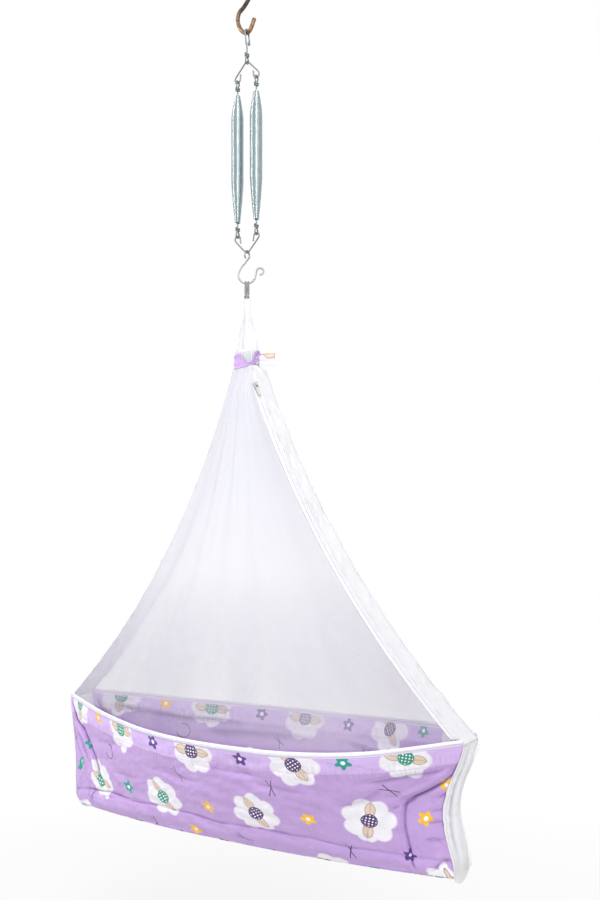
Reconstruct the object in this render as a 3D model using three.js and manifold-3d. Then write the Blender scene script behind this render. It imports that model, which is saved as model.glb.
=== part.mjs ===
// Hanging baby cradle: a cloth basket under a net canopy, hung by two springs from a ceiling hook.
// Millimetres, +Z up. The origin is the middle of the plate's top face, which lies on the ceiling.
// X runs along the basket, and its front looks along -Y.
import * as THREE from 'three';
import { mergeVertices } from 'three/addons/utils/BufferGeometryUtils.js';
import Module from 'manifold-3d';

const wasm = await Module();
wasm.setup();

const gap = 0.3; // left between neighbouring pieces

// Ceiling fitting
const plateRadius = 32;
const plateThickness = 4;
const screwHoleRadius = 3.2;
const screwHoleReach = 21;
const barRadius = 3.9;
const bowlRadius = 19;
const bowlDrop = 132; // ceiling to the middle of the bar, at the bottom of the bowl
const shankLength = 57;
const shankOffset = 6; // the shank stands beside the load, towards the hook's open side
const collarWall = 3.5;
const collarHeight = 7;

// Wire links and spreaders
const wireRadius = 1.6;
const wrapGap = 0.4;
const eyeRadius = 5;
const eyeNeck = 2.6; // from the eye's top to the first wrap
const linkLength = 53.5; // hook bar to the middle of the link's eye
const linkTailDrop = 20.5;
const linkCurlRadius = 2.6;
const spreaderHeight = 35;
const spreaderSpacing = 43; // between the two springs
const spreaderHookRadius = 6;
const spreaderTipHeight = 14.5;

// Springs
const springLength = 244;
const springDiameter = 25;
const springConeLength = 45;
const springCurls = 34;
const coilGap = 0.6;
const springHookReach = 22.5; // eye's middle to the spring's end

// S hook and rings
const sWireRadius = 1.8;
const sEyeRadius = 8;
const sBowlRadius = 16.5;
const sLength = 53.7; // eye's middle to the bottom of the bowl
const sTipEyeRadius = 6.5;
const sTurn = THREE.MathUtils.degToRad(31.5); // S hook and rings, turned from the basket's long side
const ringCount = 3;
const ringRadius = 16;
const ringWireRadius = 1.3;
const ringSpacing = 3.2;

// Strap and neck
const clothThickness = 1.6;
const strapRingWidth = 10;
const strapSlack = 0.7;
const neckDrop = 97.4; // rings' bottom to the neck's top
const neckCoreHalfLength = 15.5;
const neckCoreHalfWidth = 13;
const neckBoundHeight = 30;
const neckFlareHeight = 12;
const leftNeckReach = 18; // the flare is wider on the zip's side
const rightNeckReach = 30;
const neckFlareWidth = 20;
const tieHeight = 25;
const tieThickness = 2.2;
const tieDip = 17;
const tieCornerRadius = 2;
const tieTailLength = 33;

// Canopy
const canopyHeight = 649; // neck to rim
const netThickness = 1.2;
const netFold = 4;
const netFoldCount = 5;
const bandHalfWidth = 30;
const leftBow = 50; // how far the left band hangs inside the straight line
const rightBow = 42;
const placketWidth = 14;
const placketTurn = THREE.MathUtils.degToRad(42);
const pipingRadius = 1.3;
const zipTapeHeight = 9.5;
const zipTapeThickness = 1.3;
const zipCoilRadius = 1.3;

// Basket
const leftReach = 426;
const rightReach = 447;
const rimHalfWidth = 190;
const frontRimSag = 19;
const backRimSag = 28;
const basketDepth = 218;
const baseHalfWidth = 96;
const baseShortening = 16;
const baseArch = 12;
const panelThickness = 2;
const panelBulge = 9;
const leftPinch = 12;
const rightPinch = 21;
const endBulge = 8;
const endDroop = 13; // how far an end's seam hangs below the floor's corners
const padThickness = 33;
const padCrown = 5;
const padInset = 4;
const padReachShare = 0.985;

// Zip slider and pull
const sliderWidth = 9;
const sliderLength = 13;
const sliderRoof = 1.2;
const bridgeWidth = 2.4;
const bridgeHalfLength = 3.2;
const bridgePost = 1.2;
const bridgeHeight = 4.2;
const pullWidth = 7.4;
const pullLength = 23;
const pullThickness = 1.2;
const pullPivotHeight = 1.3;

// Half-widths between the two ends, from left to right at even steps, as shares of the widest.
const frontRimShares = [0, 0.33, 0.62, 0.86, 1, 1.05, 1.03, 0.76, 0];
const backRimShares = [0, 0.41, 0.7, 0.92, 1, 0.97, 0.86, 0.6, 0];
const baseShares = [0, 0.42, 0.74, 0.94, 1, 0.95, 0.78, 0.46, 0];

// The hook's bends, across and up from the bottom of its bowl, as shares of the bowl's radius.
const hookBendShares = [
  [0.26, 3.42], [-0.33, 2.7], [-0.92, 2.25], [-1.11, 1.75], [-1.11, 1.42], [-0.96, 0.92], [-0.73, 0.5],
  [-0.35, 0.13], [0, 0], [0.3, 0.11], [0.51, 0.35], [0.7, 0.76], [0.89, 1.17],
];

const white = 0xf3f3f6;
const netWhite = 0xececf1;
const lilac = 0xc4a5dd;
const zinc = 0xb9c2c4;
const nickel = 0xd6d8da;
const rustySteel = 0x8a6a55;

// Heights of the hanging chain, from the ceiling down. Crossing wires lie one gap apart.
const bowlZ = -bowlDrop;
const linkEyeZ = bowlZ - linkLength;
const wireCrossing = 2 * wireRadius + gap;
const upperApexZ = linkEyeZ - eyeRadius + wireCrossing;
const upperHookZ = upperApexZ - spreaderHeight;
const upperEyeZ = upperHookZ + wireCrossing - eyeRadius;
const springTopZ = upperEyeZ - springHookReach;
const springBottomZ = springTopZ - springLength;
const lowerEyeZ = springBottomZ - springHookReach;
const lowerHookZ = lowerEyeZ - eyeRadius + wireCrossing;
const lowerApexZ = lowerHookZ - spreaderHeight;
const sEyeZ = lowerApexZ + wireRadius + sWireRadius + gap - sEyeRadius;
const sBowlZ = sEyeZ - sLength;
const ringZ = sBowlZ + sWireRadius + ringWireRadius + gap - ringRadius;
const ringBottomZ = ringZ - ringRadius;
const neckTopZ = ringBottomZ - neckDrop;
const boundBottomZ = neckTopZ - neckBoundHeight;
const neckBottomZ = boundBottomZ - neckFlareHeight;
const rimZ = neckBottomZ - canopyHeight;
const baseZ = rimZ - basketDepth;

const fullTurn = 2 * Math.PI;
const { lerp, clamp, smoothstep } = THREE.MathUtils;
const vec = (x, y, z) => new THREE.Vector3(x, y, z);
const cradle = new THREE.Group();

function addPiece(name, geometry, color, roughness, metalness) {
  const material = new THREE.MeshStandardMaterial({ color, roughness, metalness });
  const mesh = new THREE.Mesh(geometry, material);
  mesh.name = name;
  cradle.add(mesh);
  return mesh;
}

// A value between the shares of a table, on a smooth curve; place runs from -1 to 1.
function along(shares, place) {
  const last = shares.length - 1;
  const position = clamp((place + 1) / 2, 0, 1) * last;
  const start = Math.min(Math.floor(position), last - 1);
  const t = position - start;
  const slope = (i) => (shares[Math.min(i + 1, last)] - shares[Math.max(i - 1, 0)])
    / (Math.min(i + 1, last) - Math.max(i - 1, 0));
  const square = t * t;
  const cube = square * t;
  return (2 * cube - 3 * square + 1) * shares[start] + (cube - 2 * square + t) * slope(start)
    + (3 * square - 2 * cube) * shares[start + 1] + (cube - square) * slope(start + 1);
}

// A geometry from points and triangles, turned so that its faces look out.
function closedGeometry(points, triangles) {
  let volume = 0;
  for (const [a, b, c] of triangles) {
    volume += points[a].dot(vec(0, 0, 0).crossVectors(points[b], points[c]));
  }
  const index = triangles.flatMap(([a, b, c]) => (volume < 0 ? [a, c, b] : [a, b, c]));
  const geometry = new THREE.BufferGeometry();
  const positions = points.flatMap((p) => [p.x, p.y, p.z]);
  geometry.setAttribute('position', new THREE.Float32BufferAttribute(positions, 3));
  geometry.setIndex(index);
  geometry.computeVertexNormals();
  return geometry;
}

// A thin sheet: a grid of points on one face, the same grid moved by its thickness, and its edges.
function sheet(face, thickness, columns, rows) {
  const points = [];
  const triangles = [];
  const row = columns + 1;
  const layer = row * (rows + 1);
  for (const side of [0, 1]) {
    for (let j = 0; j <= rows; j++) {
      for (let i = 0; i <= columns; i++) {
        const point = face(i / columns, j / rows);
        points.push(side ? point.add(thickness(i / columns, j / rows)) : point);
      }
    }
  }
  for (let j = 0; j < rows; j++) {
    for (let i = 0; i < columns; i++) {
      const a = j * row + i;
      triangles.push([a, a + 1, a + row], [a + 1, a + row + 1, a + row]);
      triangles.push([a + layer, a + row + layer, a + 1 + layer]);
      triangles.push([a + 1 + layer, a + row + layer, a + row + 1 + layer]);
    }
  }
  const edge = [];
  for (let i = 0; i < columns; i++) edge.push(i);
  for (let j = 0; j < rows; j++) edge.push(j * row + columns);
  for (let i = columns; i > 0; i--) edge.push(rows * row + i);
  for (let j = rows; j > 0; j--) edge.push(j * row);
  edge.forEach((a, k) => {
    const b = edge[(k + 1) % edge.length];
    triangles.push([a, a + layer, b], [b, a + layer, b + layer]);
  });
  return closedGeometry(points, triangles);
}

// A solid through rings of points, with a flat fan at each end; a closed loop has no ends.
function loft(rings, looped = false) {
  const sides = rings[0].length;
  const points = rings.flat();
  const triangles = [];
  const spans = looped ? rings.length : rings.length - 1;
  for (let j = 0; j < spans; j++) {
    for (let i = 0; i < sides; i++) {
      const a = j * sides + i;
      const b = j * sides + (i + 1) % sides;
      const c = ((j + 1) % rings.length) * sides + i;
      const d = ((j + 1) % rings.length) * sides + (i + 1) % sides;
      triangles.push([a, b, c], [b, d, c]);
    }
  }
  if (!looped) {
    const last = (rings.length - 1) * sides;
    for (let i = 1; i < sides - 1; i++) {
      triangles.push([0, i + 1, i], [last, last + i, last + i + 1]);
    }
  }
  return closedGeometry(points, triangles);
}

// A round wire along a smooth curve through points. A full circle gets two sides for each segment.
function wire(points, radius, sides, steps) {
  const section = new THREE.Shape();
  section.absarc(0, 0, radius, 0, fullTurn, false);
  const extrudePath = new THREE.CatmullRomCurve3(points, false, 'centripetal');
  return new THREE.ExtrudeGeometry(section, { steps, curveSegments: sides / 2, bevelEnabled: false, extrudePath });
}

// Points on an arc in the plane of two directions, from one angle to another.
function arc(middle, first, second, radius, from, to, count) {
  const points = [];
  for (let i = 0; i <= count; i++) {
    const angle = THREE.MathUtils.degToRad(lerp(from, to, i / count));
    points.push(middle.clone().addScaledVector(first, radius * Math.cos(angle))
      .addScaledVector(second, radius * Math.sin(angle)));
  }
  return points;
}

// The end of a wire: around an eye, then twice around its own leg. The leg runs along up.
function wrappedEye(middle, up, across) {
  const normal = vec(0, 0, 0).crossVectors(up, across);
  const wrapRadius = 2 * wireRadius + wrapGap;
  const wrapPitch = 2 * wireRadius + wrapGap;
  const wrapStart = eyeRadius + eyeNeck;
  const points = arc(middle, up, across, eyeRadius, 48, 312, 8);
  const turns = 2;
  const stepsInTurn = 8;
  for (let i = 0; i <= turns * stepsInTurn; i++) {
    const angle = Math.PI + fullTurn * i / stepsInTurn;
    points.push(middle.clone().addScaledVector(up, wrapStart + wrapPitch * i / stepsInTurn)
      .addScaledVector(across, wrapRadius * Math.cos(angle))
      .addScaledVector(normal, wrapRadius * Math.sin(angle)));
  }
  return points;
}

function solidOf(geometry) {
  const bare = geometry.clone();
  bare.deleteAttribute('normal');
  bare.deleteAttribute('uv');
  const merged = mergeVertices(bare);
  return new wasm.Manifold(new wasm.Mesh({
    numProp: 3,
    vertProperties: merged.attributes.position.array,
    triVerts: Uint32Array.from(merged.index.array),
  }));
}

function geometryOf(solid) {
  const { vertProperties, triVerts } = solid.getMesh();
  const geometry = new THREE.BufferGeometry();
  geometry.setAttribute('position', new THREE.BufferAttribute(vertProperties, 3));
  geometry.setIndex(new THREE.BufferAttribute(triVerts, 1));
  geometry.computeVertexNormals();
  return geometry;
}

const X = vec(1, 0, 0);
const Y = vec(0, 1, 0);
const Z = vec(0, 0, 1);

// Round steel plate against the ceiling, with two screw holes.
function ceilingPlate() {
  const outline = new THREE.Shape();
  outline.absarc(0, 0, plateRadius, 0, fullTurn, false);
  for (const side of [-1, 1]) {
    const hole = new THREE.Path();
    hole.absarc(side * screwHoleReach, 0, screwHoleRadius, 0, fullTurn, true);
    outline.holes.push(hole);
  }
  const settings = { depth: plateThickness, bevelEnabled: false, curveSegments: 8 };
  const plate = addPiece('ceiling_plate', new THREE.ExtrudeGeometry(outline, settings), rustySteel, 0.6, 0.8);
  plate.position.z = -plateThickness;
}

// Bent steel bar whose open bowl carries the cradle. Its neck slants across, and its tip is straight.
function ceilingHook() {
  const shankTop = -plateThickness - gap;
  const points = [
    vec(shankOffset, 0, shankTop),
    vec(shankOffset, 0, (shankTop - shankLength) / 2),
    vec(shankOffset, 0, -shankLength),
    ...hookBendShares.map(([across, up]) => vec(across * bowlRadius, 0, bowlZ + up * bowlRadius)),
  ];
  addPiece('ceiling_hook', wire(points, barRadius, 8, 34), rustySteel, 0.65, 0.7);
}

// Collar that holds the shank under the plate.
function hookCollar() {
  const inner = barRadius + gap;
  const outer = inner + collarWall;
  const profile = [
    new THREE.Vector2(inner, 0),
    new THREE.Vector2(inner + collarWall / 2, 0),
    new THREE.Vector2(outer, collarWall / 2),
    new THREE.Vector2(outer, collarHeight),
    new THREE.Vector2(inner, collarHeight),
    new THREE.Vector2(inner, 0),
  ];
  const collar = addPiece('hook_collar', new THREE.LatheGeometry(profile, 16), rustySteel, 0.6, 0.8);
  collar.rotation.x = Math.PI / 2;
  collar.position.set(shankOffset, 0, -plateThickness - gap - collarHeight);
}

// Wire link over the hook's bar: its tail ends in a curl, and its lower end in a wrapped eye.
function topLink() {
  const bar = vec(0, 0, bowlZ);
  const eye = vec(0, 0, linkEyeZ);
  const loopRadius = barRadius + gap + wireRadius;
  const legTop = lerp(bowlZ, linkEyeZ, 0.3);
  const curl = vec(0, loopRadius + linkCurlRadius / 4, bowlZ - linkTailDrop + linkCurlRadius);
  const points = [
    ...arc(curl, Y, Z, linkCurlRadius, -230, 0, 5),
    vec(0, loopRadius * 1.05, bowlZ - linkTailDrop * 0.3),
    ...arc(bar, Y, Z, loopRadius, 0, 180, 6),
    vec(0, -loopRadius * 0.7, legTop),
    vec(0, 0, eye.z + eyeRadius + springHookReach - eyeNeck),
    vec(0, 0, eye.z + eyeRadius + 3 * eyeNeck),
    ...wrappedEye(eye, Z, Y),
  ];
  addPiece('top_link_hook', wire(points, wireRadius, 6, 46), zinc, 0.35, 0.9);
}

// A V of wire with a hook bent in at each end. Seen with its apex up, or turned over below.
function spreader(name, apexZ, up) {
  const half = spreaderSpacing / 2;
  const rise = (height) => apexZ + up * (height - spreaderHeight);
  const side = (sign) => {
    const middle = vec(sign * half, 0, rise(spreaderHookRadius));
    const inner = sign > 0 ? 180 : 0;
    const outer = sign > 0 ? 360 : -180;
    return [
      vec(sign * (half - spreaderHookRadius * 1.2), 0, rise(spreaderTipHeight)),
      ...arc(middle, X, vec(0, 0, up), spreaderHookRadius, inner, outer, 6),
      vec(sign * (half + spreaderHookRadius * 0.85), 0, rise(spreaderHookRadius * 1.5)),
      vec(sign * (half + spreaderHookRadius) * 0.55, 0, rise(spreaderHeight * 0.62)),
    ];
  };
  const apex = vec(0, 0, apexZ - up * eyeRadius);
  const points = [
    ...side(-1),
    ...arc(apex, X, vec(0, 0, up), eyeRadius, 142, 38, 4),
    ...side(1).reverse(),
  ];
  addPiece(name, wire(points, wireRadius, 6, 44), zinc, 0.35, 0.9);
}

// Close-wound extension spring, tapered at both ends, as one tube whose end runs are straight.
const springSteps = 8;
const springSides = 5;
const springPitch = (springLength - coilGap) / (springCurls + 1);
const tubeRadius = (springPitch - coilGap) / 2;
const springMeanRadius = springDiameter / 2 - tubeRadius;
const coilMeanShare = Math.cos(Math.PI / springSteps); // a coil of few steps cuts its corners
const springEndRadius = (wireRadius + gap + tubeRadius) / coilMeanShare;
const pigtailRadius = springMeanRadius * coilMeanShare - tubeRadius - wireRadius - gap;

function springPath() {
  const points = [];
  const height = springCurls * springPitch;
  for (let i = 0; i <= springCurls * springSteps; i++) {
    const drop = height * i / (springCurls * springSteps);
    const fromEnd = Math.min(drop, height - drop);
    const swell = Math.sin(Math.PI / 2 * clamp(fromEnd / springConeLength, 0, 1));
    const radius = lerp(springEndRadius, springMeanRadius, swell);
    const angle = fullTurn * i / springSteps;
    points.push(vec(radius * Math.cos(angle), radius * Math.sin(angle), -tubeRadius - drop));
  }
  const runOut = (from, to) => to.clone().addScaledVector(to.clone().sub(from).normalize(), 2 * tubeRadius);
  points.unshift(runOut(points[1], points[0]));
  points.push(runOut(points.at(-2), points.at(-1)));
  return points;
}

function leastSelfGap(points) {
  let least = Infinity;
  for (let i = 0; i < points.length; i++) {
    for (let j = i + springSteps / 2; j < points.length; j++) {
      least = Math.min(least, points[i].distanceTo(points[j]) - 2 * tubeRadius);
    }
  }
  return least;
}

function spring(name, side) {
  const path = springPath();
  const rings = path.map((point, i) => {
    const before = path[Math.max(i - 1, 0)];
    const after = path[Math.min(i + 1, path.length - 1)];
    const forward = after.clone().sub(before).normalize();
    const out = Z.clone().cross(forward).normalize();
    const upward = forward.clone().cross(out);
    return arc(point, out, upward, tubeRadius, 0, 360 - 360 / springSides, springSides - 1);
  });
  const mesh = addPiece(name, loft(rings), zinc, 0.3, 0.9);
  mesh.position.set(side * spreaderSpacing / 2, 0, springTopZ);
  return path;
}

// Wire hook in each end of a spring: an eye on the spreader, and a pigtail caught inside the cone.
function springHook(name, side, eyeZ, down) {
  const middle = vec(side * spreaderSpacing / 2, 0, eyeZ);
  const away = vec(0, 0, -down);
  const place = (across, along_, depth) => middle.clone().add(vec(across, along_, 0)).addScaledVector(away, depth);
  const pigtailDepth = springHookReach + springConeLength + tubeRadius;
  const legEnd = pigtailDepth - pigtailRadius;
  const pigtail = [];
  const pigtailSteps = 8;
  for (let i = 0; i <= pigtailSteps; i++) {
    const angle = fullTurn * i / pigtailSteps;
    const depth = pigtailDepth + (2 * wireRadius + wrapGap) * i / pigtailSteps;
    pigtail.unshift(place(pigtailRadius * Math.cos(angle), pigtailRadius * Math.sin(angle), depth));
  }
  const points = [
    ...pigtail,
    place(pigtailRadius * 0.3, 0, legEnd),
    place(0, 0, legEnd - pigtailRadius),
    place(0, 0, springHookReach),
    place(0, 0, eyeRadius + 3 * eyeNeck),
    ...wrappedEye(middle, away, Y),
  ];
  addPiece(name, wire(points, wireRadius, 6, 46), zinc, 0.35, 0.9);
}

// S hook: its closed eye stands across the spreader, and its tip is curled back as a catch.
const sSide = vec(Math.cos(sTurn), Math.sin(sTurn), 0);

function sHook() {
  const eye = vec(0, 0, sEyeZ);
  const bowl = vec(0, 0, sBowlZ + sBowlRadius);
  const tipEye = sSide.clone().multiplyScalar(sBowlRadius + sTipEyeRadius + sWireRadius)
    .setZ(bowl.z + sTipEyeRadius);
  const eyeBottom = eye.z - sEyeRadius;
  const points = [
    ...arc(eye, Y, Z, sEyeRadius, 235, -70, 9),
    sSide.clone().multiplyScalar(-sBowlRadius * 0.18).setZ(lerp(eyeBottom, bowl.z, 0.22)),
    sSide.clone().multiplyScalar(-sBowlRadius * 0.72).setZ(lerp(eyeBottom, bowl.z, 0.6)),
    ...arc(bowl, sSide, Z, sBowlRadius, 180, 360, 8),
    ...arc(tipEye, sSide, Z, sTipEyeRadius, 165, -95, 6),
  ];
  addPiece('s_hook', wire(points, sWireRadius, 6, 46), nickel, 0.3, 0.8);
}

// Three thin rings side by side in the bowl of the S hook.
function rings() {
  for (let i = 0; i < ringCount; i++) {
    const offset = (i - (ringCount - 1) / 2) * ringSpacing;
    const lift = sBowlRadius - Math.sqrt(sBowlRadius ** 2 - offset ** 2);
    const ring = addPiece(`ring_${i + 1}`, new THREE.TorusGeometry(ringRadius, ringWireRadius, 5, 20), zinc, 0.3, 0.9);
    ring.rotation.set(Math.PI / 2, sTurn + Math.PI / 2, 0);
    ring.position.copy(sSide).multiplyScalar(offset).setZ(ringZ + lift);
  }
}

// White strap: one length of webbing over the rings, both legs bound into the neck.
const strapRingRadius = ringSpacing * (ringCount - 1) / 2 + ringWireRadius + strapSlack;
const strapNeckX = neckCoreHalfLength + gap;

function hangingStrap() {
  const over = vec(0, 0, ringBottomZ);
  const leg = (side) => [
    vec(side * strapNeckX, 0, boundBottomZ),
    vec(side * strapNeckX, 0, neckTopZ),
    vec(side * lerp(strapRingRadius, strapNeckX, 0.85), 0, lerp(ringBottomZ, neckTopZ, 0.86)),
    vec(side * lerp(strapRingRadius, strapNeckX, 0.4), 0, lerp(ringBottomZ, neckTopZ, 0.55)),
    vec(side * lerp(strapRingRadius, strapNeckX, 0.08), 0, lerp(ringBottomZ, neckTopZ, 0.22)),
  ];
  const path = new THREE.CatmullRomCurve3(
    [...leg(-1), ...arc(over, X, Z, strapRingRadius, 180, 0, 6), ...leg(1).reverse()], false, 'centripetal');
  const spread = (z) => smoothstep(ringBottomZ - z, 0, neckDrop);
  const face = (u, v) => {
    const point = path.getPoint(v);
    const width = lerp(strapRingWidth, 2 * neckCoreHalfWidth, spread(point.z));
    const y = (u - 0.5) * width;
    const rise = (ringRadius - Math.sqrt(ringRadius ** 2 - y ** 2)) * (1 - spread(point.z));
    const turned = sTurn * (1 - spread(point.z));
    return vec(point.x, y, point.z + rise).applyAxisAngle(Z, turned);
  };
  const thickness = (u, v) => {
    const forward = path.getTangent(v);
    const turned = sTurn * (1 - spread(path.getPoint(v).z));
    return vec(-forward.z, 0, forward.x).multiplyScalar(clothThickness).applyAxisAngle(Z, turned);
  };
  addPiece('hanging_strap', sheet(face, thickness, 2, path.points.length - 1), white, 0.9, 0);
}

// Tops of the nets, gathered and bound at the neck.
function neckGather() {
  const columns = 12;
  const ring = (z, swell) => {
    const points = [];
    for (let i = 0; i < columns; i++) {
      const angle = fullTurn * (i + 0.5) / columns;
      const pleat = i % 2 ? 1 : swell;
      const reach = Math.max(Math.abs(Math.cos(angle)), Math.abs(Math.sin(angle)));
      points.push(vec(neckCoreHalfLength * pleat * Math.cos(angle) / reach,
        neckCoreHalfWidth * pleat * Math.sin(angle) / reach, z));
    }
    return points;
  };
  const heights = [neckTopZ, lerp(neckTopZ, boundBottomZ, 0.3), boundBottomZ];
  addPiece('neck_gather', loft(heights.map((z, i) => ring(z, i ? 0.9 : 0.8))), netWhite, 0.95, 0);
}

// Print cloth tied round the neck, dipped at the front, with its tail folded to one side.
const bandInnerX = strapNeckX + clothThickness + gap;
const netInnerY = neckCoreHalfWidth + gap;
const tieHalfLength = bandInnerX + clothThickness + gap + 0.15 * tieCornerRadius;
const tieHalfWidth = netInnerY + netThickness + gap + 0.15 * tieCornerRadius;

function neckTie() {
  const corners = 4;
  const stepsInCorner = 3;
  const outline = (grow) => {
    const points = [];
    const radius = tieCornerRadius + grow;
    for (let corner = 0; corner < corners; corner++) {
      const signX = corner === 0 || corner === 3 ? 1 : -1;
      const signY = corner < 2 ? 1 : -1;
      const middle = vec(signX * (tieHalfLength - tieCornerRadius), signY * (tieHalfWidth - tieCornerRadius), 0);
      points.push(...arc(middle, X, Y, radius, 90 * corner, 90 * (corner + 1), stepsInCorner));
      const next = corner === 0 || corner === 2;
      const flat = next ? tieHalfLength - tieCornerRadius : tieHalfWidth - tieCornerRadius;
      const direction = next ? vec(-signX, 0, 0) : vec(0, -signY, 0);
      points.push(points.at(-1).clone().addScaledVector(direction, flat));
    }
    return points;
  };
  const inner = outline(0);
  const outer = outline(tieThickness);
  const bottomZ = boundBottomZ + gap;
  const sections = inner.map((point, i) => {
    const front = clamp(-point.y / tieHalfWidth, 0, 1) * (1 - (point.x / tieHalfLength) ** 2);
    const lean = tieHeight / 6 * point.x / tieHalfLength;
    const low = bottomZ + tieHeight / 6 + lean;
    const high = low + tieHeight - tieDip * front;
    return [
      point.clone().setZ(low), outer[i].clone().setZ(low),
      outer[i].clone().setZ(high), point.clone().setZ(high),
    ];
  });
  addPiece('neck_tie', loft(sections, true), lilac, 0.9, 0);

  const start = vec(tieHalfLength + tieThickness + gap, 0, bottomZ + tieHeight / 2);
  const direction = vec(0.85, 0.53, 0);
  const face = (u, v) => start.clone().addScaledVector(direction, u * tieTailLength)
    .add(vec(0, tieThickness * Math.sin(fullTurn * u), (0.5 - v) * lerp(tieHeight * 0.7, tieHeight, u)
      - tieHeight * 0.12 * u));
  const thickness = () => vec(0, tieThickness, 0);
  addPiece('neck_tie_tail', sheet(face, thickness, 6, 2), lilac, 0.9, 0);
}

// Canopy lines. A band's inner face hangs on an arc from the neck's flare to the rim's end.
const reachOf = (side) => (side < 0 ? leftReach : rightReach);

function bandPoint(side, fall, y) {
  const top = vec(side * (side < 0 ? leftNeckReach : rightNeckReach), 0, neckBottomZ);
  const bottom = vec(side * (reachOf(side) + gap), 0, rimZ + gap);
  const chord = bottom.clone().sub(top);
  const inward = vec(side * chord.z, 0, -side * chord.x).normalize();
  const point = top.addScaledVector(chord, fall);
  const bow = side < 0 ? leftBow : rightBow;
  return point.addScaledVector(inward, bow * 4 * fall * (1 - fall)).setY(y);
}

const bandHalf = (fall) => lerp(neckFlareWidth, bandHalfWidth, fall);
const netFall = (canopyHeight - zipTapeHeight - 2 * gap) / (canopyHeight - gap);

// The pieces of the canopy share their rows, so that their seams match: two rows in the bound neck,
// then the steps down to the rim.
const neckRows = 2;
const canopySteps = 10;
const firstStepShare = 0.05;
const canopyShare = (step) => (step === 0 ? 0 : lerp(firstStepShare, 1, (step - 1) / (canopySteps - 1)));
const canopyRows = neckRows + canopySteps;
const neckRowZ = (row) => (row === 0 ? neckTopZ - tieHeight / 6 : boundBottomZ);

function band(name, side) {
  const rows = canopyRows + 1;
  const face = (u, v) => {
    const row = Math.round(v * rows);
    if (row < neckRows) return vec(side * bandInnerX, lerp(-1, 1, u) * neckCoreHalfWidth, neckRowZ(row));
    const fall = row === rows ? 1 : canopyShare(row - neckRows) * netFall;
    return bandPoint(side, fall, lerp(-1, 1, u) * bandHalf(fall));
  };
  addPiece(name, sheet(face, () => vec(side * clothThickness, 0, 0), 2, rows), white, 0.85, 0);
}

// Rim and base lines of the basket; place runs from -1 at the left end to 1 at the right.
const netSideX = (side, fall) => bandPoint(side, fall, 0).x + side * clothThickness / 2;

function rimPoint(front, place) {
  const shares = front ? frontRimShares : backRimShares;
  const half = bandHalfWidth + gap + (rimHalfWidth - bandHalfWidth) * along(shares, place);
  const sag = front ? frontRimSag : backRimSag;
  return vec(place * reachOf(place), front ? -half : half, rimZ - sag * (1 - place ** 2));
}

function basePoint(front, place) {
  const half = bandHalfWidth + gap + (baseHalfWidth - bandHalfWidth) * along(baseShares, place);
  const x = place * (reachOf(place) - baseShortening);
  return vec(x, front ? -half : half, baseZ + baseArch * (1 - place ** 2));
}

// The zip's placket is a strip of constant direction along the right band's front edge.
const placketAcross = vec(-Math.cos(placketTurn), -Math.sin(placketTurn), 0);
const placketEdge = (fall) => bandPoint(1, fall, -bandHalf(fall) - gap).add(vec(clothThickness / 2, 0, 0));
const placketChord = placketEdge(netFall).sub(placketEdge(0)).normalize();
const placketNormal = vec(0, 0, 0).crossVectors(placketAcross, placketChord).normalize();
if (placketNormal.y > 0) placketNormal.negate();
const placketTopShare = 0.12;
const placketReach = (fall) => placketWidth
  * lerp(placketTopShare, 1, clamp(fall / (firstStepShare * netFall), 0, 1));

// Net between two side lines, the neck and the rim, with folds that run down it.
function net(name, front, columns) {
  const sign = front ? -1 : 1;
  const left = (fall) => bandPoint(-1, fall, sign * (bandHalf(fall) + gap)).setX(netSideX(-1, fall));
  const right = (fall) => {
    if (!front) return bandPoint(1, fall, bandHalf(fall) + gap).setX(netSideX(1, fall));
    return placketEdge(fall).addScaledVector(placketAcross, placketReach(fall) + gap);
  };
  const rim = (u) => {
    const place = lerp(left(netFall).x / leftReach, right(netFall).x / rightReach, u);
    const point = rimPoint(front, clamp(place, -1, 1));
    return point.setX(place * reachOf(place)).setZ(point.z + zipTapeHeight + 2 * gap);
  };
  const top = (u) => left(0).lerp(right(0), u);
  const face = (u, v) => {
    const row = Math.round(v * canopyRows);
    if (row < neckRows) {
      return vec(lerp(-1, 1, u) * (bandInnerX + clothThickness / 4), sign * netInnerY, neckRowZ(row));
    }
    const share = canopyShare(row - neckRows);
    const fall = share * netFall;
    const between = (a, b) => a.lerp(b, share);
    const point = between(top(u), rim(u));
    point.addScaledVector(left(fall).sub(between(top(0), rim(0))), 1 - u);
    point.addScaledVector(right(fall).sub(between(top(1), rim(1))), u);
    const middle = Math.sin(Math.PI * u) * Math.sin(Math.PI * share);
    point.y += sign * netFold * middle * (Math.cos(fullTurn * netFoldCount * u) - 1);
    return point;
  };
  addPiece(name, sheet(face, () => vec(0, sign * netThickness, 0), columns, canopyRows), netWhite, 0.95, 0);
}

// White cloth strip beside the right band, with the upright stretch of the zip.
const coilAcross = placketWidth * 0.55;
const coilLift = clothThickness + gap + zipCoilRadius;
const coilPoint = (fall) => placketEdge(fall).addScaledVector(placketAcross, coilAcross)
  .addScaledVector(placketNormal, coilLift);
const coilTopFall = 0.03;
const sliderFall = 0.045;

function placket() {
  const face = (u, v) => {
    const fall = canopyShare(Math.round(v * canopySteps)) * netFall;
    return placketEdge(fall).addScaledVector(placketAcross, u * placketReach(fall));
  };
  const thickness = () => placketNormal.clone().multiplyScalar(clothThickness);
  addPiece('zip_placket', sheet(face, thickness, 1, canopySteps), white, 0.85, 0);
  const points = [coilPoint(coilTopFall)];
  for (let step = 1; step <= canopySteps; step++) points.push(coilPoint(canopyShare(step) * netFall));
  addPiece('zip_side_coil', wire(points, zipCoilRadius, 4, 2 * canopySteps), white, 0.6, 0);
}

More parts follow.
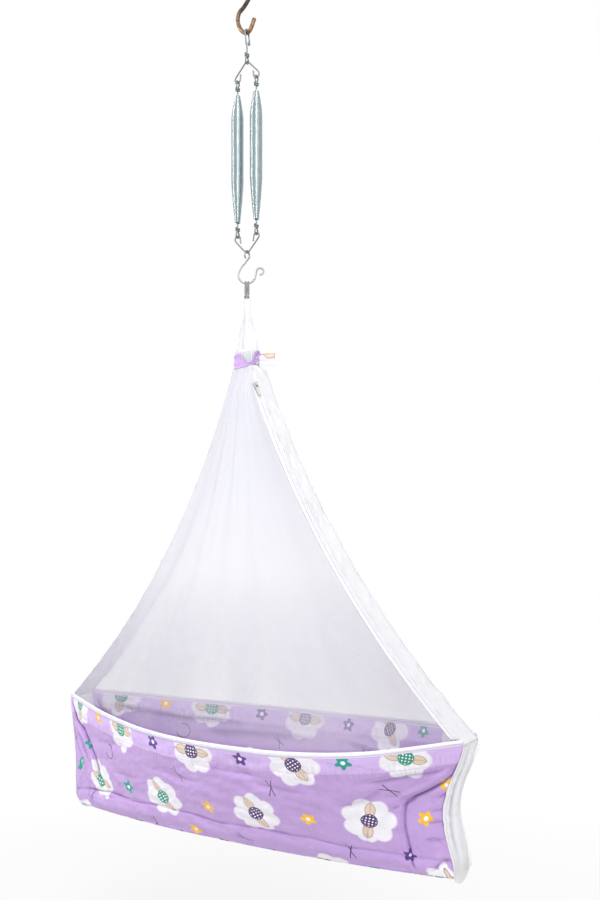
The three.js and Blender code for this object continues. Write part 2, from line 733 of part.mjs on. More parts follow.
// Tape between the net and a panel along the rim, and the zip's coil on the front one.
function rimTape(name, front, height) {
  const sign = front ? -1 : 1;
  const face = (u, v) => {
    const point = rimPoint(front, lerp(-1, 1, u));
    return point.setZ(point.z + gap + height * (1 - v));
  };
  addPiece(name, sheet(face, () => vec(0, sign * zipTapeThickness, 0), 24, 1), white, 0.8, 0);
}

function rimCoil() {
  const steps = 24;
  const points = [];
  for (let i = 0; i <= steps; i++) {
    const point = rimPoint(true, lerp(-1, 1, i / steps));
    const forward = zipTapeThickness + gap + zipCoilRadius;
    points.push(point.add(vec(0, -forward * 1.5, gap + zipTapeHeight / 2)));
  }
  addPiece('zip_rim_coil', wire(points, zipCoilRadius, 4, steps), white, 0.6, 0);
}

// Basket walls. Both ends draw in halfway down, and the long walls swell a little.
const wallRows = 5;

function endX(side, fall) {
  const pinch = side < 0 ? leftPinch : rightPinch;
  return side * (reachOf(side) - baseShortening * fall - pinch * Math.sin(Math.PI * fall));
}

function wallPoint(front, place, fall) {
  const point = rimPoint(front, place).lerp(basePoint(front, place), fall);
  const swell = panelBulge * Math.sin(Math.PI * fall) * (1 - place ** 4);
  point.y += front ? -swell : swell;
  return point.setX(Math.abs(place) * endX(place < 0 ? -1 : 1, fall));
}

function wall(name, front) {
  const sign = front ? -1 : 1;
  const face = (u, v) => wallPoint(front, lerp(-1, 1, u), v);
  addPiece(name, sheet(face, () => vec(0, sign * panelThickness, 0), 18, wallRows), lilac, 0.85, 0);
}

function endWall(name, side) {
  const rows = wallRows + 1;
  const reach = bandHalfWidth + 2 * gap + panelThickness;
  const face = (u, v) => {
    const fall = Math.min(v * rows / wallRows, 1);
    const middle = 1 - lerp(-1, 1, u) ** 2;
    const swell = endBulge * Math.sin(Math.PI * fall) * middle;
    const below = v === 1 ? gap + panelThickness + endDroop * middle : 0;
    return vec(endX(side, fall) + side * (gap + swell), lerp(-1, 1, u) * reach, lerp(rimZ, baseZ, fall) - below);
  };
  addPiece(name, sheet(face, () => vec(side * panelThickness, 0, 0), 4, rows), white, 0.85, 0);
}

// Piping along the back edge of each band, and down the back corner of each end.
function bandPiping(name, side) {
  const steps = 12;
  const points = [];
  for (let i = 0; i <= steps; i++) {
    const fall = lerp(0.03, 1, i / steps);
    const out = (clothThickness + gap + pipingRadius) * 1.3;
    points.push(bandPoint(side, fall, bandHalf(fall) - pipingRadius).add(vec(side * out, 0, 0)));
  }
  addPiece(name, wire(points, pipingRadius, 4, steps), white, 0.8, 0);
}

function endPiping(name, side) {
  const steps = 6;
  const points = [];
  for (let i = 0; i <= steps; i++) {
    const fall = lerp(0.04, 1, i / steps);
    const out = (panelThickness + 2 * gap + pipingRadius) * 1.15;
    const y = bandHalfWidth + panelThickness - pipingRadius;
    points.push(vec(endX(side, fall) + side * (out + endBulge * 0.15), y, lerp(rimZ, baseZ, fall)));
  }
  addPiece(name, wire(points, pipingRadius, 4, steps), white, 0.8, 0);
}

// Cloth floor under all four walls.
function baseCloth() {
  const face = (u, v) => {
    const place = lerp(-1, 1, u);
    const edge = basePoint(true, place);
    return vec(edge.x, lerp(1, -1, v) * (edge.y - panelThickness), edge.z - gap);
  };
  addPiece('base_cloth', sheet(face, () => vec(0, 0, -panelThickness), 14, 2), lilac, 0.85, 0);
}

// Foam pad on the floor: crowned on top, its sides drawn in between the corners.
function basePad() {
  const stations = 14;
  const around = 12;
  const padRings = [];
  for (let j = 0; j <= stations; j++) {
    const place = lerp(-padReachShare, padReachShare, j / stations);
    const taper = Math.sqrt(1 - 0.75 * Math.abs(place) ** 6);
    const edge = basePoint(true, place);
    const half = (-edge.y - padInset) * taper;
    const height = padThickness * lerp(0.72, 1, taper) + padCrown * (1 - place ** 2);
    const ring = [];
    for (let i = 0; i < around; i++) {
      const angle = fullTurn * i / around;
      const across = Math.sign(Math.cos(angle)) * Math.abs(Math.cos(angle)) ** 0.45;
      const rise = (Math.sign(Math.sin(angle)) * Math.abs(Math.sin(angle)) ** 0.6 + 1) / 2;
      ring.push(vec(edge.x, half * across, edge.z + height * rise));
    }
    padRings.push(ring);
  }
  addPiece('base_pad', loft(padRings), white, 0.9, 0);
}

// Slider on the coil, closed at the top of the zip, and its hanging pull. Both are drawn in the
// frame of the zip: down it, across it and out of it.
const zipDown = coilPoint(sliderFall * 1.2).sub(coilPoint(sliderFall * 0.8)).normalize();
const zipOut = placketNormal.clone().addScaledVector(zipDown, -placketNormal.dot(zipDown)).normalize();
const zipAcross = vec(0, 0, 0).crossVectors(zipOut, zipDown);
const sliderMiddle = coilPoint(sliderFall);
const sliderRoofHeight = zipCoilRadius + gap + sliderRoof;

function zipFrame(first, second, third, at) {
  return new THREE.Matrix4().makeBasis(first, second, third).setPosition(at);
}

function zipSlider() {
  const half = sliderWidth / 2;
  const channel = zipCoilRadius + gap;
  const foot = -zipCoilRadius / 3;
  const section = new THREE.Shape([
    [-half, foot], [-channel, foot], [-channel, channel], [channel, channel],
    [channel, foot], [half, foot], [half, sliderRoofHeight - sliderRoof / 2],
    [half - sliderRoof / 2, sliderRoofHeight], [sliderRoof / 2 - half, sliderRoofHeight],
    [-half, sliderRoofHeight - sliderRoof / 2],
  ].map(([x, y]) => new THREE.Vector2(x, y)));
  const body = new THREE.ExtrudeGeometry(section, { depth: sliderLength, bevelEnabled: false });
  body.translate(0, 0, -sliderLength / 2);
  body.applyMatrix4(zipFrame(zipAcross, zipOut, zipDown, sliderMiddle));

  const inner = bridgeHalfLength - bridgePost;
  const seat = -sliderRoof / 2;
  const arch = new THREE.Shape([
    [-bridgeHalfLength, seat], [-inner, seat], [-inner, bridgeHeight - bridgePost],
    [inner, bridgeHeight - bridgePost], [inner, seat], [bridgeHalfLength, seat],
    [bridgeHalfLength, bridgeHeight - bridgePost / 2], [inner, bridgeHeight],
    [-inner, bridgeHeight], [-bridgeHalfLength, bridgeHeight - bridgePost / 2],
  ].map(([x, y]) => new THREE.Vector2(x, y)));
  const bridge = new THREE.ExtrudeGeometry(arch, { depth: bridgeWidth, bevelEnabled: false });
  bridge.translate(0, 0, -bridgeWidth / 2);
  const roof = sliderMiddle.clone().addScaledVector(zipOut, sliderRoofHeight);
  bridge.applyMatrix4(zipFrame(zipDown, zipOut, zipAcross.clone().negate(), roof));
  addPiece('zip_slider', geometryOf(solidOf(body).add(solidOf(bridge))), nickel, 0.3, 0.9);
}

function zipPull() {
  const half = pullWidth / 2;
  const bar = pullThickness / 2;
  const tab = new THREE.Shape([
    [-bar, -half], [pullLength * 0.9, -half * 0.75], [pullLength, 0], [pullLength * 0.9, half * 0.75],
    [-bar, half],
  ].map(([x, y]) => new THREE.Vector2(x, y)));
  const slotHalf = bridgeWidth / 2 + 2 * gap;
  const slotEnd = Math.hypot(bridgeHalfLength, bridgeHeight) + 2 * gap;
  const slot = new THREE.Path([[bar, -slotHalf], [bar, slotHalf], [slotEnd, slotHalf], [slotEnd, -slotHalf]]
    .map(([x, y]) => new THREE.Vector2(x, y)));
  tab.holes.push(slot);
  const geometry = new THREE.ExtrudeGeometry(tab, { depth: pullThickness, bevelEnabled: false });
  geometry.translate(0, 0, -pullThickness / 2);
  const pivot = sliderMiddle.clone().addScaledVector(zipOut, sliderRoofHeight + pullPivotHeight);
  geometry.applyMatrix4(zipFrame(zipDown, zipAcross, zipOut, pivot));
  addPiece('zip_pull', geometry, nickel, 0.3, 0.9);
}

ceilingPlate();
ceilingHook();
hookCollar();
topLink();
spreader('upper_spreader', upperApexZ, 1);
springHook('spring_hook_upper_left', -1, upperEyeZ, 1);
springHook('spring_hook_upper_right', 1, upperEyeZ, 1);
const coils = spring('spring_left', -1);
spring('spring_right', 1);
springHook('spring_hook_lower_left', -1, lowerEyeZ, -1);
springHook('spring_hook_lower_right', 1, lowerEyeZ, -1);
spreader('lower_spreader', lowerApexZ, -1);
sHook();
rings();
hangingStrap();
neckGather();
neckTie();
band('band_left', -1);
band('band_right', 1);
net('net_front', true, 18);
net('net_back', false, 16);
placket();
rimTape('zip_rim_tape', true, zipTapeHeight);
rimCoil();
rimTape('back_rim_binding', false, zipTapeHeight);
wall('front_wall', true);
wall('back_wall', false);
endWall('end_wall_left', -1);
endWall('end_wall_right', 1);
bandPiping('band_piping_left', -1);
bandPiping('band_piping_right', 1);
endPiping('end_piping_left', -1);
endPiping('end_piping_right', 1);
baseCloth();
basePad();
zipSlider();
zipPull();

console.log(`least gap of a spring to itself: ${leastSelfGap(coils).toFixed(2)} mm`);

export default cradle;
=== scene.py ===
import math

import bpy
import numpy as np
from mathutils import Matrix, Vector


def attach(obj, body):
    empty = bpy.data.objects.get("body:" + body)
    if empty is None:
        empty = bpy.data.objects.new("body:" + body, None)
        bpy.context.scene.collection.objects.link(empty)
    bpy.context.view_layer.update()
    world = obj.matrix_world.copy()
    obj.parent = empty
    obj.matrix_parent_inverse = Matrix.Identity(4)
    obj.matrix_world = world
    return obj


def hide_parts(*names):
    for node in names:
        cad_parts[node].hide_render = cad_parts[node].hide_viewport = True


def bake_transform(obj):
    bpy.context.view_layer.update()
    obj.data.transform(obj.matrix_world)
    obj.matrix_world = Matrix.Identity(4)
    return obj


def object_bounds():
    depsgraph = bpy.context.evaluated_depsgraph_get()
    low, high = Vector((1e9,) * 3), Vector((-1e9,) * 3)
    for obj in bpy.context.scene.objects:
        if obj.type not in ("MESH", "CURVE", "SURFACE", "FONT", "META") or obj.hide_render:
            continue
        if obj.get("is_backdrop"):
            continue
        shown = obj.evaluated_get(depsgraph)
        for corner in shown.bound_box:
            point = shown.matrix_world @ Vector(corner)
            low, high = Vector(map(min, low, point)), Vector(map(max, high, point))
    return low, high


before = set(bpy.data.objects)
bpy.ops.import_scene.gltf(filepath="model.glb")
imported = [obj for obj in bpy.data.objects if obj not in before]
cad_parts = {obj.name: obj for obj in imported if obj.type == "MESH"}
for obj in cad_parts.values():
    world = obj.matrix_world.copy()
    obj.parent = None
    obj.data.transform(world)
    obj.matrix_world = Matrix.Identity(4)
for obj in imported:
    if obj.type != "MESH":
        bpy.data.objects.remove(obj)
cad_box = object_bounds()
bpy.context.scene.view_settings.view_transform = "Standard"


# Camera: level with the canopy's middle, 31.5 degrees to the right of the basket's front, so that
# the zipped end comes nearer. The picture is shifted up a little, to take in the hook.
def add(name, data):
    """A new object in the scene."""
    made = bpy.data.objects.new(name, data)
    bpy.context.scene.collection.objects.link(made)
    return made


viewer = add("camera", bpy.data.cameras.new("camera"))
viewer.location = (1.0261, -1.4822, -1.074)
viewer.rotation_euler = (math.radians(90), 0, math.radians(31.5))
viewer.data.lens = 38
viewer.data.shift_y = 80 / 900
bpy.context.scene.camera = viewer


# Studio: a pale matt floor well under the basket, and a white room. The room and the floor show
# white to the eye and in reflections, while the light on the cradle stays plain and soft.
def linear(code):
    """An sRGB hex colour as the linear values that a socket takes."""
    parts = [int(code[i:i + 2], 16) / 255 for i in (1, 3, 5)]
    return [c / 12.92 if c <= 0.04045 else ((c + 0.055) / 1.055) ** 2.4 for c in parts] + [1]


def fill(node, sockets):
    """Fills a node's sockets with values, hex colours or links, and gives its outputs."""
    for name, value in sockets.items():
        if isinstance(value, bpy.types.NodeSocket):
            tree.links.new(value, node.inputs[name])
        else:
            node.inputs[name].default_value = linear(value) if isinstance(value, str) else value
    return node.outputs


def put(kind, sockets=None, **settings):
    """Adds a node to the tree that is being made, and gives its outputs."""
    made = tree.nodes.new("ShaderNode" + kind)
    for name, value in settings.items():
        setattr(made, name, value)
    return fill(made, sockets or {})


def count(operation, *values, **settings):
    """The result of a sum on numbers or links."""
    return put("Math", dict(enumerate(values)), operation=operation, **settings)[0]


def span(value, low, high, start=0.0, end=1.0):
    """A value from low to high, drawn out to run from start to end."""
    return put("MapRange", {"Value": value, "From Min": low, "From Max": high,
                            "To Min": start, "To Max": end})[0]


def on_show():
    """1 for a ray that shows something, straight, mirrored or through clear net, 0 for plain light."""
    ray = put("LightPath")
    mirrored = count("MAXIMUM", ray["Is Camera Ray"], ray["Is Glossy Ray"])
    return count("MAXIMUM", mirrored, ray["Is Transmission Ray"])


def blank(name):
    """A new material, with its node tree and its surface shader."""
    made = bpy.data.materials.new(name)
    made.use_nodes = True
    return made, made.node_tree, made.node_tree.nodes["Principled BSDF"]


def layered(share, below, above):
    """Makes the surface of two shaders, with a share of the one above."""
    both = put("MixShader", {"Fac": share, 1: below, 2: above})
    fill(tree.nodes["Material Output"], {"Surface": both[0]})


white = (1, 1, 1, 1)
studio = bpy.data.worlds.new("white_room")
studio.use_nodes = True
bpy.context.scene.world = studio
tree = studio.node_tree
fill(tree.nodes["Background"], {"Color": white, "Strength": span(on_show(), 0, 1, 0.46, 1)})

pale_floor, tree, shader = blank("pale_matt_floor")
fill(shader, {"Base Color": "#F1F1F1", "Roughness": 0.9})
away = put("VectorMath", {0: put("TexCoord")["Object"]}, operation="LENGTH")["Value"]
# The floor fades into the white room from 0.8 m away, so that it shows no edge.
layered(count("MULTIPLY", on_show(), span(away, 0.8, 2.4, 0.5, 1)), shader.outputs[0],
        put("Emission", {"Color": white, "Strength": 1})[0])
bpy.ops.mesh.primitive_circle_add(vertices=64, radius=9, fill_type="NGON", location=(0, 0, -2.25))
floor = bpy.context.active_object
floor.name = "studio_floor"
floor.data.materials.append(pale_floor)
floor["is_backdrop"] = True

for name, place, size, watts in (
        ("key_lamp", (-2.3, -1.7, 0.6), 1.0, 61),
        ("fill_lamp", (1.5, -2.2, 0.5), 1.0, 62),
        ("top_lamp", (0.9, -0.5, 1.3), 1.4, 14),
        ("back_lamp", (0.4, 2.6, 0.1), 2.0, 20)):
    lamp = add(name, bpy.data.lights.new(name, "AREA"))
    lamp.location = place
    lamp.rotation_euler = (Vector((0, 0, -1.0)) - Vector(place)).to_track_quat("-Z", "Y").to_euler()
    lamp.data.size, lamp.data.energy = size, watts

# Ceiling plate: a round steel disc, punched for two screws and left bare, now brown with rust.
# Its edge is broken by the press, so it catches a thin line of light.
MM = 0.001
plate_radius, plate_thickness, plate_edge = 32, 4, 0.5
screw_reach, screw_radius = 21, 3.2


def over(below, share, above):
    """A colour with a share of another one over it."""
    return put("MixRGB", {"Fac": share, "Color1": below, "Color2": above})[0]


def noise(place, scale, detail, **more):
    """Soft noise around 0.5."""
    return put("TexNoise", {"Vector": place, "Scale": scale, "Detail": detail} | more)["Fac"]


def relief(height, strength, distance, under=None):
    """A surface raised by a height, on top of another relief where there is one."""
    sockets = {"Height": height, "Strength": strength, "Distance": distance}
    return put("Bump", sockets if under is None else sockets | {"Normal": under})[0]


def dress(piece, material, body, slot, *nodes):
    """Gives a piece its material, its body and the plain solids that it stands for. Its slot is not
    used.
    """
    piece.data.materials.append(material)
    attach(piece, body)
    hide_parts(*nodes)
    return piece


rusty_steel, tree, shader = blank("rusty_mild_steel")
place = put("TexCoord")["Object"]
# Rust lies in patches of about 5 mm, with grains of half a millimetre. Above the bowl it is darker.
patches = noise(place, 150, 6, Roughness=0.6)
patchy = span(patches, 0.27, 0.73)
bronzed, dark = over("#33231A", patchy, "#A27D63"), over("#1A1715", patchy, "#665F5A")
above_bowl = span(put("SeparateXYZ", {"Vector": place})["Z"], -0.108, -0.082)
fill(shader, {"Metallic": 0.7, "Base Color": over(bronzed, above_bowl, dark),
              "Roughness": span(patches, 0, 1, 0.34, 0.58),
              "Normal": relief(noise(place, 1900, 3), 0.35, 0.0004)})

outline = bpy.data.curves.new("ceiling_disc", "CURVE")
outline.dimensions, outline.fill_mode = "2D", "BOTH"
outline.extrude = (plate_thickness / 2 - plate_edge) * MM
outline.bevel_depth, outline.bevel_resolution = plate_edge * MM, 3
hole = screw_radius + plate_edge
for middle, radius in ((0, plate_radius - plate_edge), (-screw_reach, hole), (screw_reach, hole)):
    circle = outline.splines.new("POLY")
    circle.points.add(63)
    for i, point in enumerate(circle.points):
        turn = 2 * math.pi * i / 64
        point.co = ((middle + radius * math.cos(turn)) * MM, radius * math.sin(turn) * MM, 0, 1)
    circle.use_cyclic_u = True
disc = add("ceiling_disc", outline)
disc.location.z = -plate_thickness / 2 * MM
bpy.context.view_layer.objects.active = disc
disc.select_set(True)
bpy.ops.object.convert(target="MESH")
dress(bpy.context.active_object, rusty_steel, "ceiling_fitting", "rusty_steel", "ceiling_plate")


# Ceiling hook and its collar: one mild steel bar, 8 mm thick, bent cold into an open bowl. The
# collar under the plate holds its shank. Its blunt tip was cut with a bolt cutter.
def travelled(points, axis=0):
    """The distance covered along rows of points, from 0 at the first."""
    steps = np.linalg.norm(np.diff(points, axis=axis), axis=-1)
    return np.insert(np.cumsum(steps, axis=axis), 0, 0, axis=axis)


def unit(rows):
    """Each row's direction, 1 long."""
    return rows / np.linalg.norm(rows, axis=-1, keepdims=True)


def all_round(count):
    """The angles of equal steps round a circle."""
    return 2 * np.pi * np.arange(count) / count


def along_curve(points, spacing):
    """Even steps along a smooth curve through points, in millimetres."""
    p = np.array(points, float)
    p = np.vstack([2 * p[0] - p[1], p, 2 * p[-1] - p[-2]])
    fine = []
    for a, b, c, d in zip(p, p[1:], p[2:], p[3:]):
        t1 = np.linalg.norm(b - a) ** 0.5
        t2 = t1 + np.linalg.norm(c - b) ** 0.5
        t3 = t2 + np.linalg.norm(d - c) ** 0.5
        t = np.linspace(t1, t2, 12, endpoint=False)[:, None]
        ab, bc = a + (b - a) * t / t1, b + (c - b) * (t - t1) / (t2 - t1)
        cd = c + (d - c) * (t - t2) / (t3 - t2)
        abc, bcd = ab + (bc - ab) * t / t2, bc + (cd - bc) * (t - t1) / (t3 - t1)
        fine.append(abc + (bcd - abc) * (t - t1) / (t2 - t1))
    fine = np.vstack(fine + [p[-2:-1]])
    length = travelled(fine)
    even = np.linspace(0, length[-1], max(2, int(length[-1] / spacing) + 1))
    return np.column_stack([np.interp(even, length, fine[:, k]) for k in range(3)])


def grid_mesh(name, rings, around=False, flat=None):
    """A mesh from rows of points in millimetres. Rows may close around, and carry flat places."""
    rows, sides = rings.shape[:2]
    index = np.arange(rows * sides).reshape(rows, sides)
    right = np.roll(index, -1, axis=1) if around else index[:, 1:]
    left = index if around else index[:, :-1]
    quads = np.stack([left[:-1], right[:-1], right[1:], left[1:]], axis=-1)
    faces = quads.reshape(-1, 4).tolist()
    if around:
        faces += [index[0][::-1].tolist(), index[-1].tolist()]
    mesh = bpy.data.meshes.new(name)
    mesh.from_pydata((rings.reshape(-1, 3) * MM).tolist(), [], faces)
    if flat is not None:
        mesh.attributes.new("flat", "FLOAT_VECTOR", "POINT").data.foreach_set(
            "vector", (flat.reshape(-1, 3) * MM).astype(np.float32).ravel())
    mesh.shade_smooth()
    return add(name, mesh)


def bent_wire(name, path, radius, sides=14):
    """A round wire along a path in millimetres, its two cut ends slightly rounded."""
    forward = unit(np.gradient(path, axis=0))
    across = np.zeros_like(path)
    start = np.cross(forward[0], (0.31, 0.87, 0.38))
    for i, way in enumerate(forward):
        start = unit(start - way * start.dot(way))
        across[i] = start
    other = np.cross(forward, across)
    ends = np.array([0.75, 0.95]) * radius
    size = np.concatenate([ends, np.full(len(path), float(radius)), ends[::-1]])
    path, across, other = (np.pad(rows, ((2, 2), (0, 0)), "edge") for rows in (path, across, other))
    path[0] -= forward[0] * 0.25 * radius
    path[-1] += forward[-1] * 0.25 * radius
    turn = all_round(sides)[None, :, None]
    rings = path[:, None] + size[:, None, None] * (
        across[:, None] * np.cos(turn) + other[:, None] * np.sin(turn))
    return grid_mesh(name, rings, around=True)


def arc(middle, first, second, radius, start, end, count):
    """Points on an arc in the plane of two directions, with its angles in degrees."""
    turn = np.radians(np.linspace(start, end, count + 1))[:, None]
    return (middle + radius * np.cos(turn) * first + radius * np.sin(turn) * second).tolist()


X, Y, Z = (1, 0, 0), (0, 1, 0), (0, 0, 1)
bar_radius, bowl_radius, bowl_z = 3.9, 19, -132
shank_end, shank_top, shank_offset = -57, -4.3, 6
# Each bend's place across and up from the bottom of the bowl, in bowl radii.
hook_bends = (
    (0.26, 3.42), (-0.33, 2.7), (-0.92, 2.25), (-1.11, 1.75), (-1.11, 1.42), (-0.96, 0.92),
    (-0.73, 0.5), (-0.35, 0.13), (0, 0), (0.3, 0.11), (0.51, 0.35), (0.7, 0.76), (0.89, 1.17))
hook_points = [(shank_offset, 0, z) for z in (shank_top, (shank_top + shank_end) / 2, shank_end)]
hook_points += [(across * bowl_radius, 0, bowl_z + up * bowl_radius) for across, up in hook_bends]
bar = bent_wire("bent_steel_hook", along_curve(hook_points, 1.2), bar_radius, sides=24)
dress(bar, rusty_steel, "ceiling_fitting", "rusty_steel", "ceiling_hook")

turn = all_round(48)
# The collar's outline: its radius and its height, from its lower inner edge round to the upper.
profile = ((4.2, -11.3), (6.3, -11.3), (7.3, -10.7), (7.7, -9.8), (7.7, -4.8), (7.4, -4.3), (4.2, -4.3))
collar = grid_mesh("shank_collar", np.array(
    [[(shank_offset + r * math.cos(a), r * math.sin(a), z) for a in turn] for r, z in profile]),
    around=True)
collar.data.polygons[-1].use_smooth = collar.data.polygons[-2].use_smooth = False
dress(collar, rusty_steel, "ceiling_fitting", "rusty_steel", "hook_collar")

# Top link: zinc-plated spring wire, 3 mm thick. It loops over the hook, and its lower end makes
# an eye that is wrapped twice around its own leg. The plating is bright with a dull bloom.
wire_radius, eye_radius, eye_neck, wrap_pitch, link_eye_z = 1.45, 5, 2.6, 3.4, -185.5

zinc_wire, tree, shader = blank("zinc_plated_wire")
place = put("TexCoord")["Object"]
# Plating blooms over about 3 mm, and drawing leaves scores a quarter of a millimetre wide.
bloom = noise(place, 330, 4)
fill(shader, {"Metallic": 1, "Base Color": over("#737879", bloom, "#858A8D"),
              "Roughness": span(bloom, 0, 1, 0.50, 0.60),
              "Normal": relief(noise(place, 4000, 2), 0.1, 0.0001)})


def wrapped_eye(middle, up, across):
    """Wire points around an eye, then twice around the leg that runs up from it."""
    middle, up, across = (np.array(v, float) for v in (middle, up, across))
    normal = np.cross(up, across)
    points = arc(middle, up, across, eye_radius, 48, 312, 8)
    for i in range(17):
        angle = math.pi + 2 * math.pi * i / 8
        points.append((middle + up * (eye_radius + eye_neck + wrap_pitch * i / 8)
                       + wrap_pitch * (across * math.cos(angle) + normal * math.sin(angle))).tolist())
    return points


link_gap, link_half = 0.3, 1.6
loop = bar_radius + link_gap + link_half
curl_radius, tail_end = 2.6, bowl_z - 20.5
link_points = [
    *arc((0, loop + curl_radius / 4, tail_end + curl_radius), Y, Z, curl_radius, -230, 0, 5),
    (0, loop * 1.05, bowl_z - 6.2), *arc((0, 0, bowl_z), Y, Z, loop, 0, 180, 6),
    (0, -loop * 0.7, bowl_z + 0.3 * (link_eye_z - bowl_z)), (0, 0, link_eye_z + 24.9),
    (0, 0, link_eye_z + eye_radius + 3 * eye_neck), *wrapped_eye((0, 0, link_eye_z), Z, Y)]
link = bent_wire("top_link_wire", along_curve(link_points, 0.8), wire_radius)
dress(link, zinc_wire, "top_link", "zinc_wire", "top_link_hook")

# Spreaders: the same wire bent to a V, with a hook in each end that keeps the springs apart. The
# lower one is the upper one turned over.
spreader_height, half_spacing, hook_radius = 35, 21.5, 6


def spreader_points(apex_z, up):
    """The wire's points from one hook over the apex to the other."""
    def rise(height):
        return apex_z + up * (height - spreader_height)

    def half(sign):
        inner, outer = (180, 360) if sign > 0 else (0, -180)
        return [(sign * (half_spacing - hook_radius * 1.2), 0, rise(14.5)),
                *arc((sign * half_spacing, 0, rise(hook_radius)), X, (0, 0, up),
                     hook_radius, inner, outer, 6),
                (sign * (half_spacing + hook_radius * 0.85), 0, rise(hook_radius * 1.5)),
                (sign * (half_spacing + hook_radius) * 0.55, 0, rise(spreader_height * 0.62))]

    apex = arc((0, 0, apex_z - up * eye_radius), X, (0, 0, up), eye_radius, 142, 38, 4)
    return half(-1) + apex + half(1)[::-1]


for name, apex_z, up in (("upper_spreader", -187, 1), ("lower_spreader", -549, -1)):
    spread = bent_wire(name + "_wire", along_curve(spreader_points(apex_z, up), 0.8), wire_radius)
    dress(spread, zinc_wire, name, "zinc_wire", name)

# Springs: two extension springs of 1.8 mm steel wire, close wound and narrowed to a cone at each
# end, the lower one longer. Their zinc plating is blue-white and glossy, so light runs down them in
# long streaks.
spring_top, spring_length, spring_radius, spring_end_radius, spring_cone = -246, 244, 12.5, 4.4, 45
coil_pitch, coil_wire, turn_steps = 1.9, 0.92, 20
left_and_right = ((-1, "left"), (1, "right"))

spring_steel, tree, shader = blank("blue_zinc_spring_steel")
cloudy = noise(put("TexCoord")["Object"], 60, 1)
fill(shader, {"Metallic": 1, "Anisotropic": 0.3, "Base Color": over("#A3AFB2", cloudy, "#B7C2C5"),
              "Roughness": span(cloudy, 0, 1, 0.23, 0.27)})

wound_length = spring_length - 2 * coil_wire
step = np.arange(int(wound_length / coil_pitch * turn_steps) + 1)
drop = coil_pitch * step / turn_steps
cone_length = np.where(drop < spring_length / 2, spring_cone, 1.75 * spring_cone)
cone = np.clip(np.minimum(drop, wound_length - drop) / cone_length, 0, 1)
coil_radius = spring_end_radius + (spring_radius - coil_wire - spring_end_radius) * (
    0.55 * cone + 0.45 * np.sin(np.pi / 2 * cone))
angle = 2 * np.pi * step / turn_steps
winding = np.column_stack([coil_radius * np.cos(angle), coil_radius * np.sin(angle),
                           spring_top - coil_wire - drop])
for side, name in left_and_right:
    coil = bent_wire(f"spring_coil_{name}", winding + (side * half_spacing, 0, 0), coil_wire, sides=8)
    coil.data.materials.append(spring_steel)
    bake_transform(coil)
    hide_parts(f"spring_{name}")

# Spring hooks: bent from the zinc wire. Each spring end holds the pigtail of one, whose wrapped
# eye hangs on the spreader.
pigtail_radius, eye_to_spring = 5.2, 22.5
pigtail_reach = eye_to_spring + spring_cone + 3
for where, eye_z, away in (("upper", -223.5, -1), ("lower", -512.5, 1)):
    for side, name in left_and_right:
        middle = np.array([side * half_spacing, 0, eye_z])
        pigtail = [middle + (pigtail_radius * math.cos(a), pigtail_radius * math.sin(a),
                             away * (pigtail_reach + 3.6 * a / 6.283))
                   for a in np.linspace(2 * math.pi, 0, 9)]
        stem = [middle + (x, 0, away * depth) for x, depth in (
            (pigtail_radius * 0.3, pigtail_reach - pigtail_radius),
            (0, pigtail_reach - 2 * pigtail_radius), (0, eye_to_spring), (0, eye_radius + 3 * eye_neck))]
        points = along_curve(pigtail + stem + wrapped_eye(middle, (0, 0, away), Y), 0.8)
        hook = bent_wire(f"spring_hook_{where}_{name}_wire", points, wire_radius, sides=12)
        dress(hook, zinc_wire, f"{where}_spreader", "zinc_wire", f"spring_hook_{where}_{name}")

# S hook: thicker wire in nickel plate. Its closed eye hangs on the lower spreader, and its open
# tip is curled back so that the rings can't jump off.
s_turn = math.radians(31.5)
s_side = np.array([math.cos(s_turn), math.sin(s_turn), 0])
s_eye_z, s_bowl_z, s_wire = -553.3, -607, 1.8
s_eye_radius, s_bowl_radius, s_tip_radius = 8, 16.5, 6.5

nickel_plate, tree, shader = blank("bright_nickel_plate")
handled = noise(put("TexCoord")["Object"], 60, 3)
fill(shader, {"Metallic": 1, "Base Color": over("#949290", handled, "#A6A4A1"),
              "Roughness": span(handled, 0, 1, 0.48, 0.54)})

bowl = np.array([0, 0, s_bowl_z + s_bowl_radius])
tip = s_side * (s_bowl_radius + s_tip_radius + s_wire) + (0, 0, bowl[2] + s_tip_radius)
eye_bottom = s_eye_z - s_eye_radius
s_points = [
    *arc((0, 0, s_eye_z), Y, Z, s_eye_radius, 235, -70, 9),
    *(tuple(-s_side * s_bowl_radius * back + (0, 0, eye_bottom + down * (bowl[2] - eye_bottom)))
      for back, down in ((0.18, 0.22), (0.72, 0.6))),
    *arc(bowl, s_side, Z, s_bowl_radius, 180, 360, 8), *arc(tip, s_side, Z, s_tip_radius, 165, -95, 6)]
s_bent = bent_wire("s_hook_wire", along_curve(s_points, 0.7), s_wire, sides=16)
dress(s_bent, nickel_plate, "s_hook", "nickel", "s_hook")

# Rings: three rings of thin zinc wire, closed on themselves. They hang side by side in the S
# hook's bowl and carry the strap.
ring_radius, ring_wire, ring_z, ring_spacing = 16, 0.7, -619.6, 3.2
ring_across = np.array([-s_side[1], s_side[0], 0])
for i in range(3):
    offset = (i - 1) * ring_spacing
    lift = s_bowl_radius - math.sqrt(s_bowl_radius ** 2 - offset ** 2)
    middle = s_side * offset + (0, 0, ring_z + lift)
    turn = np.radians(np.arange(0, 360, 4) + 40 * i)[:, None]
    round_path = middle + ring_radius * (ring_across * np.cos(turn) + np.array(Z) * np.sin(turn))
    ring = bent_wire(f"ring_{i + 1}_wire", np.vstack([round_path, round_path[:1]]), ring_wire, sides=12)
    dress(ring, zinc_wire, "rings", "zinc_wire", f"ring_{i + 1}")

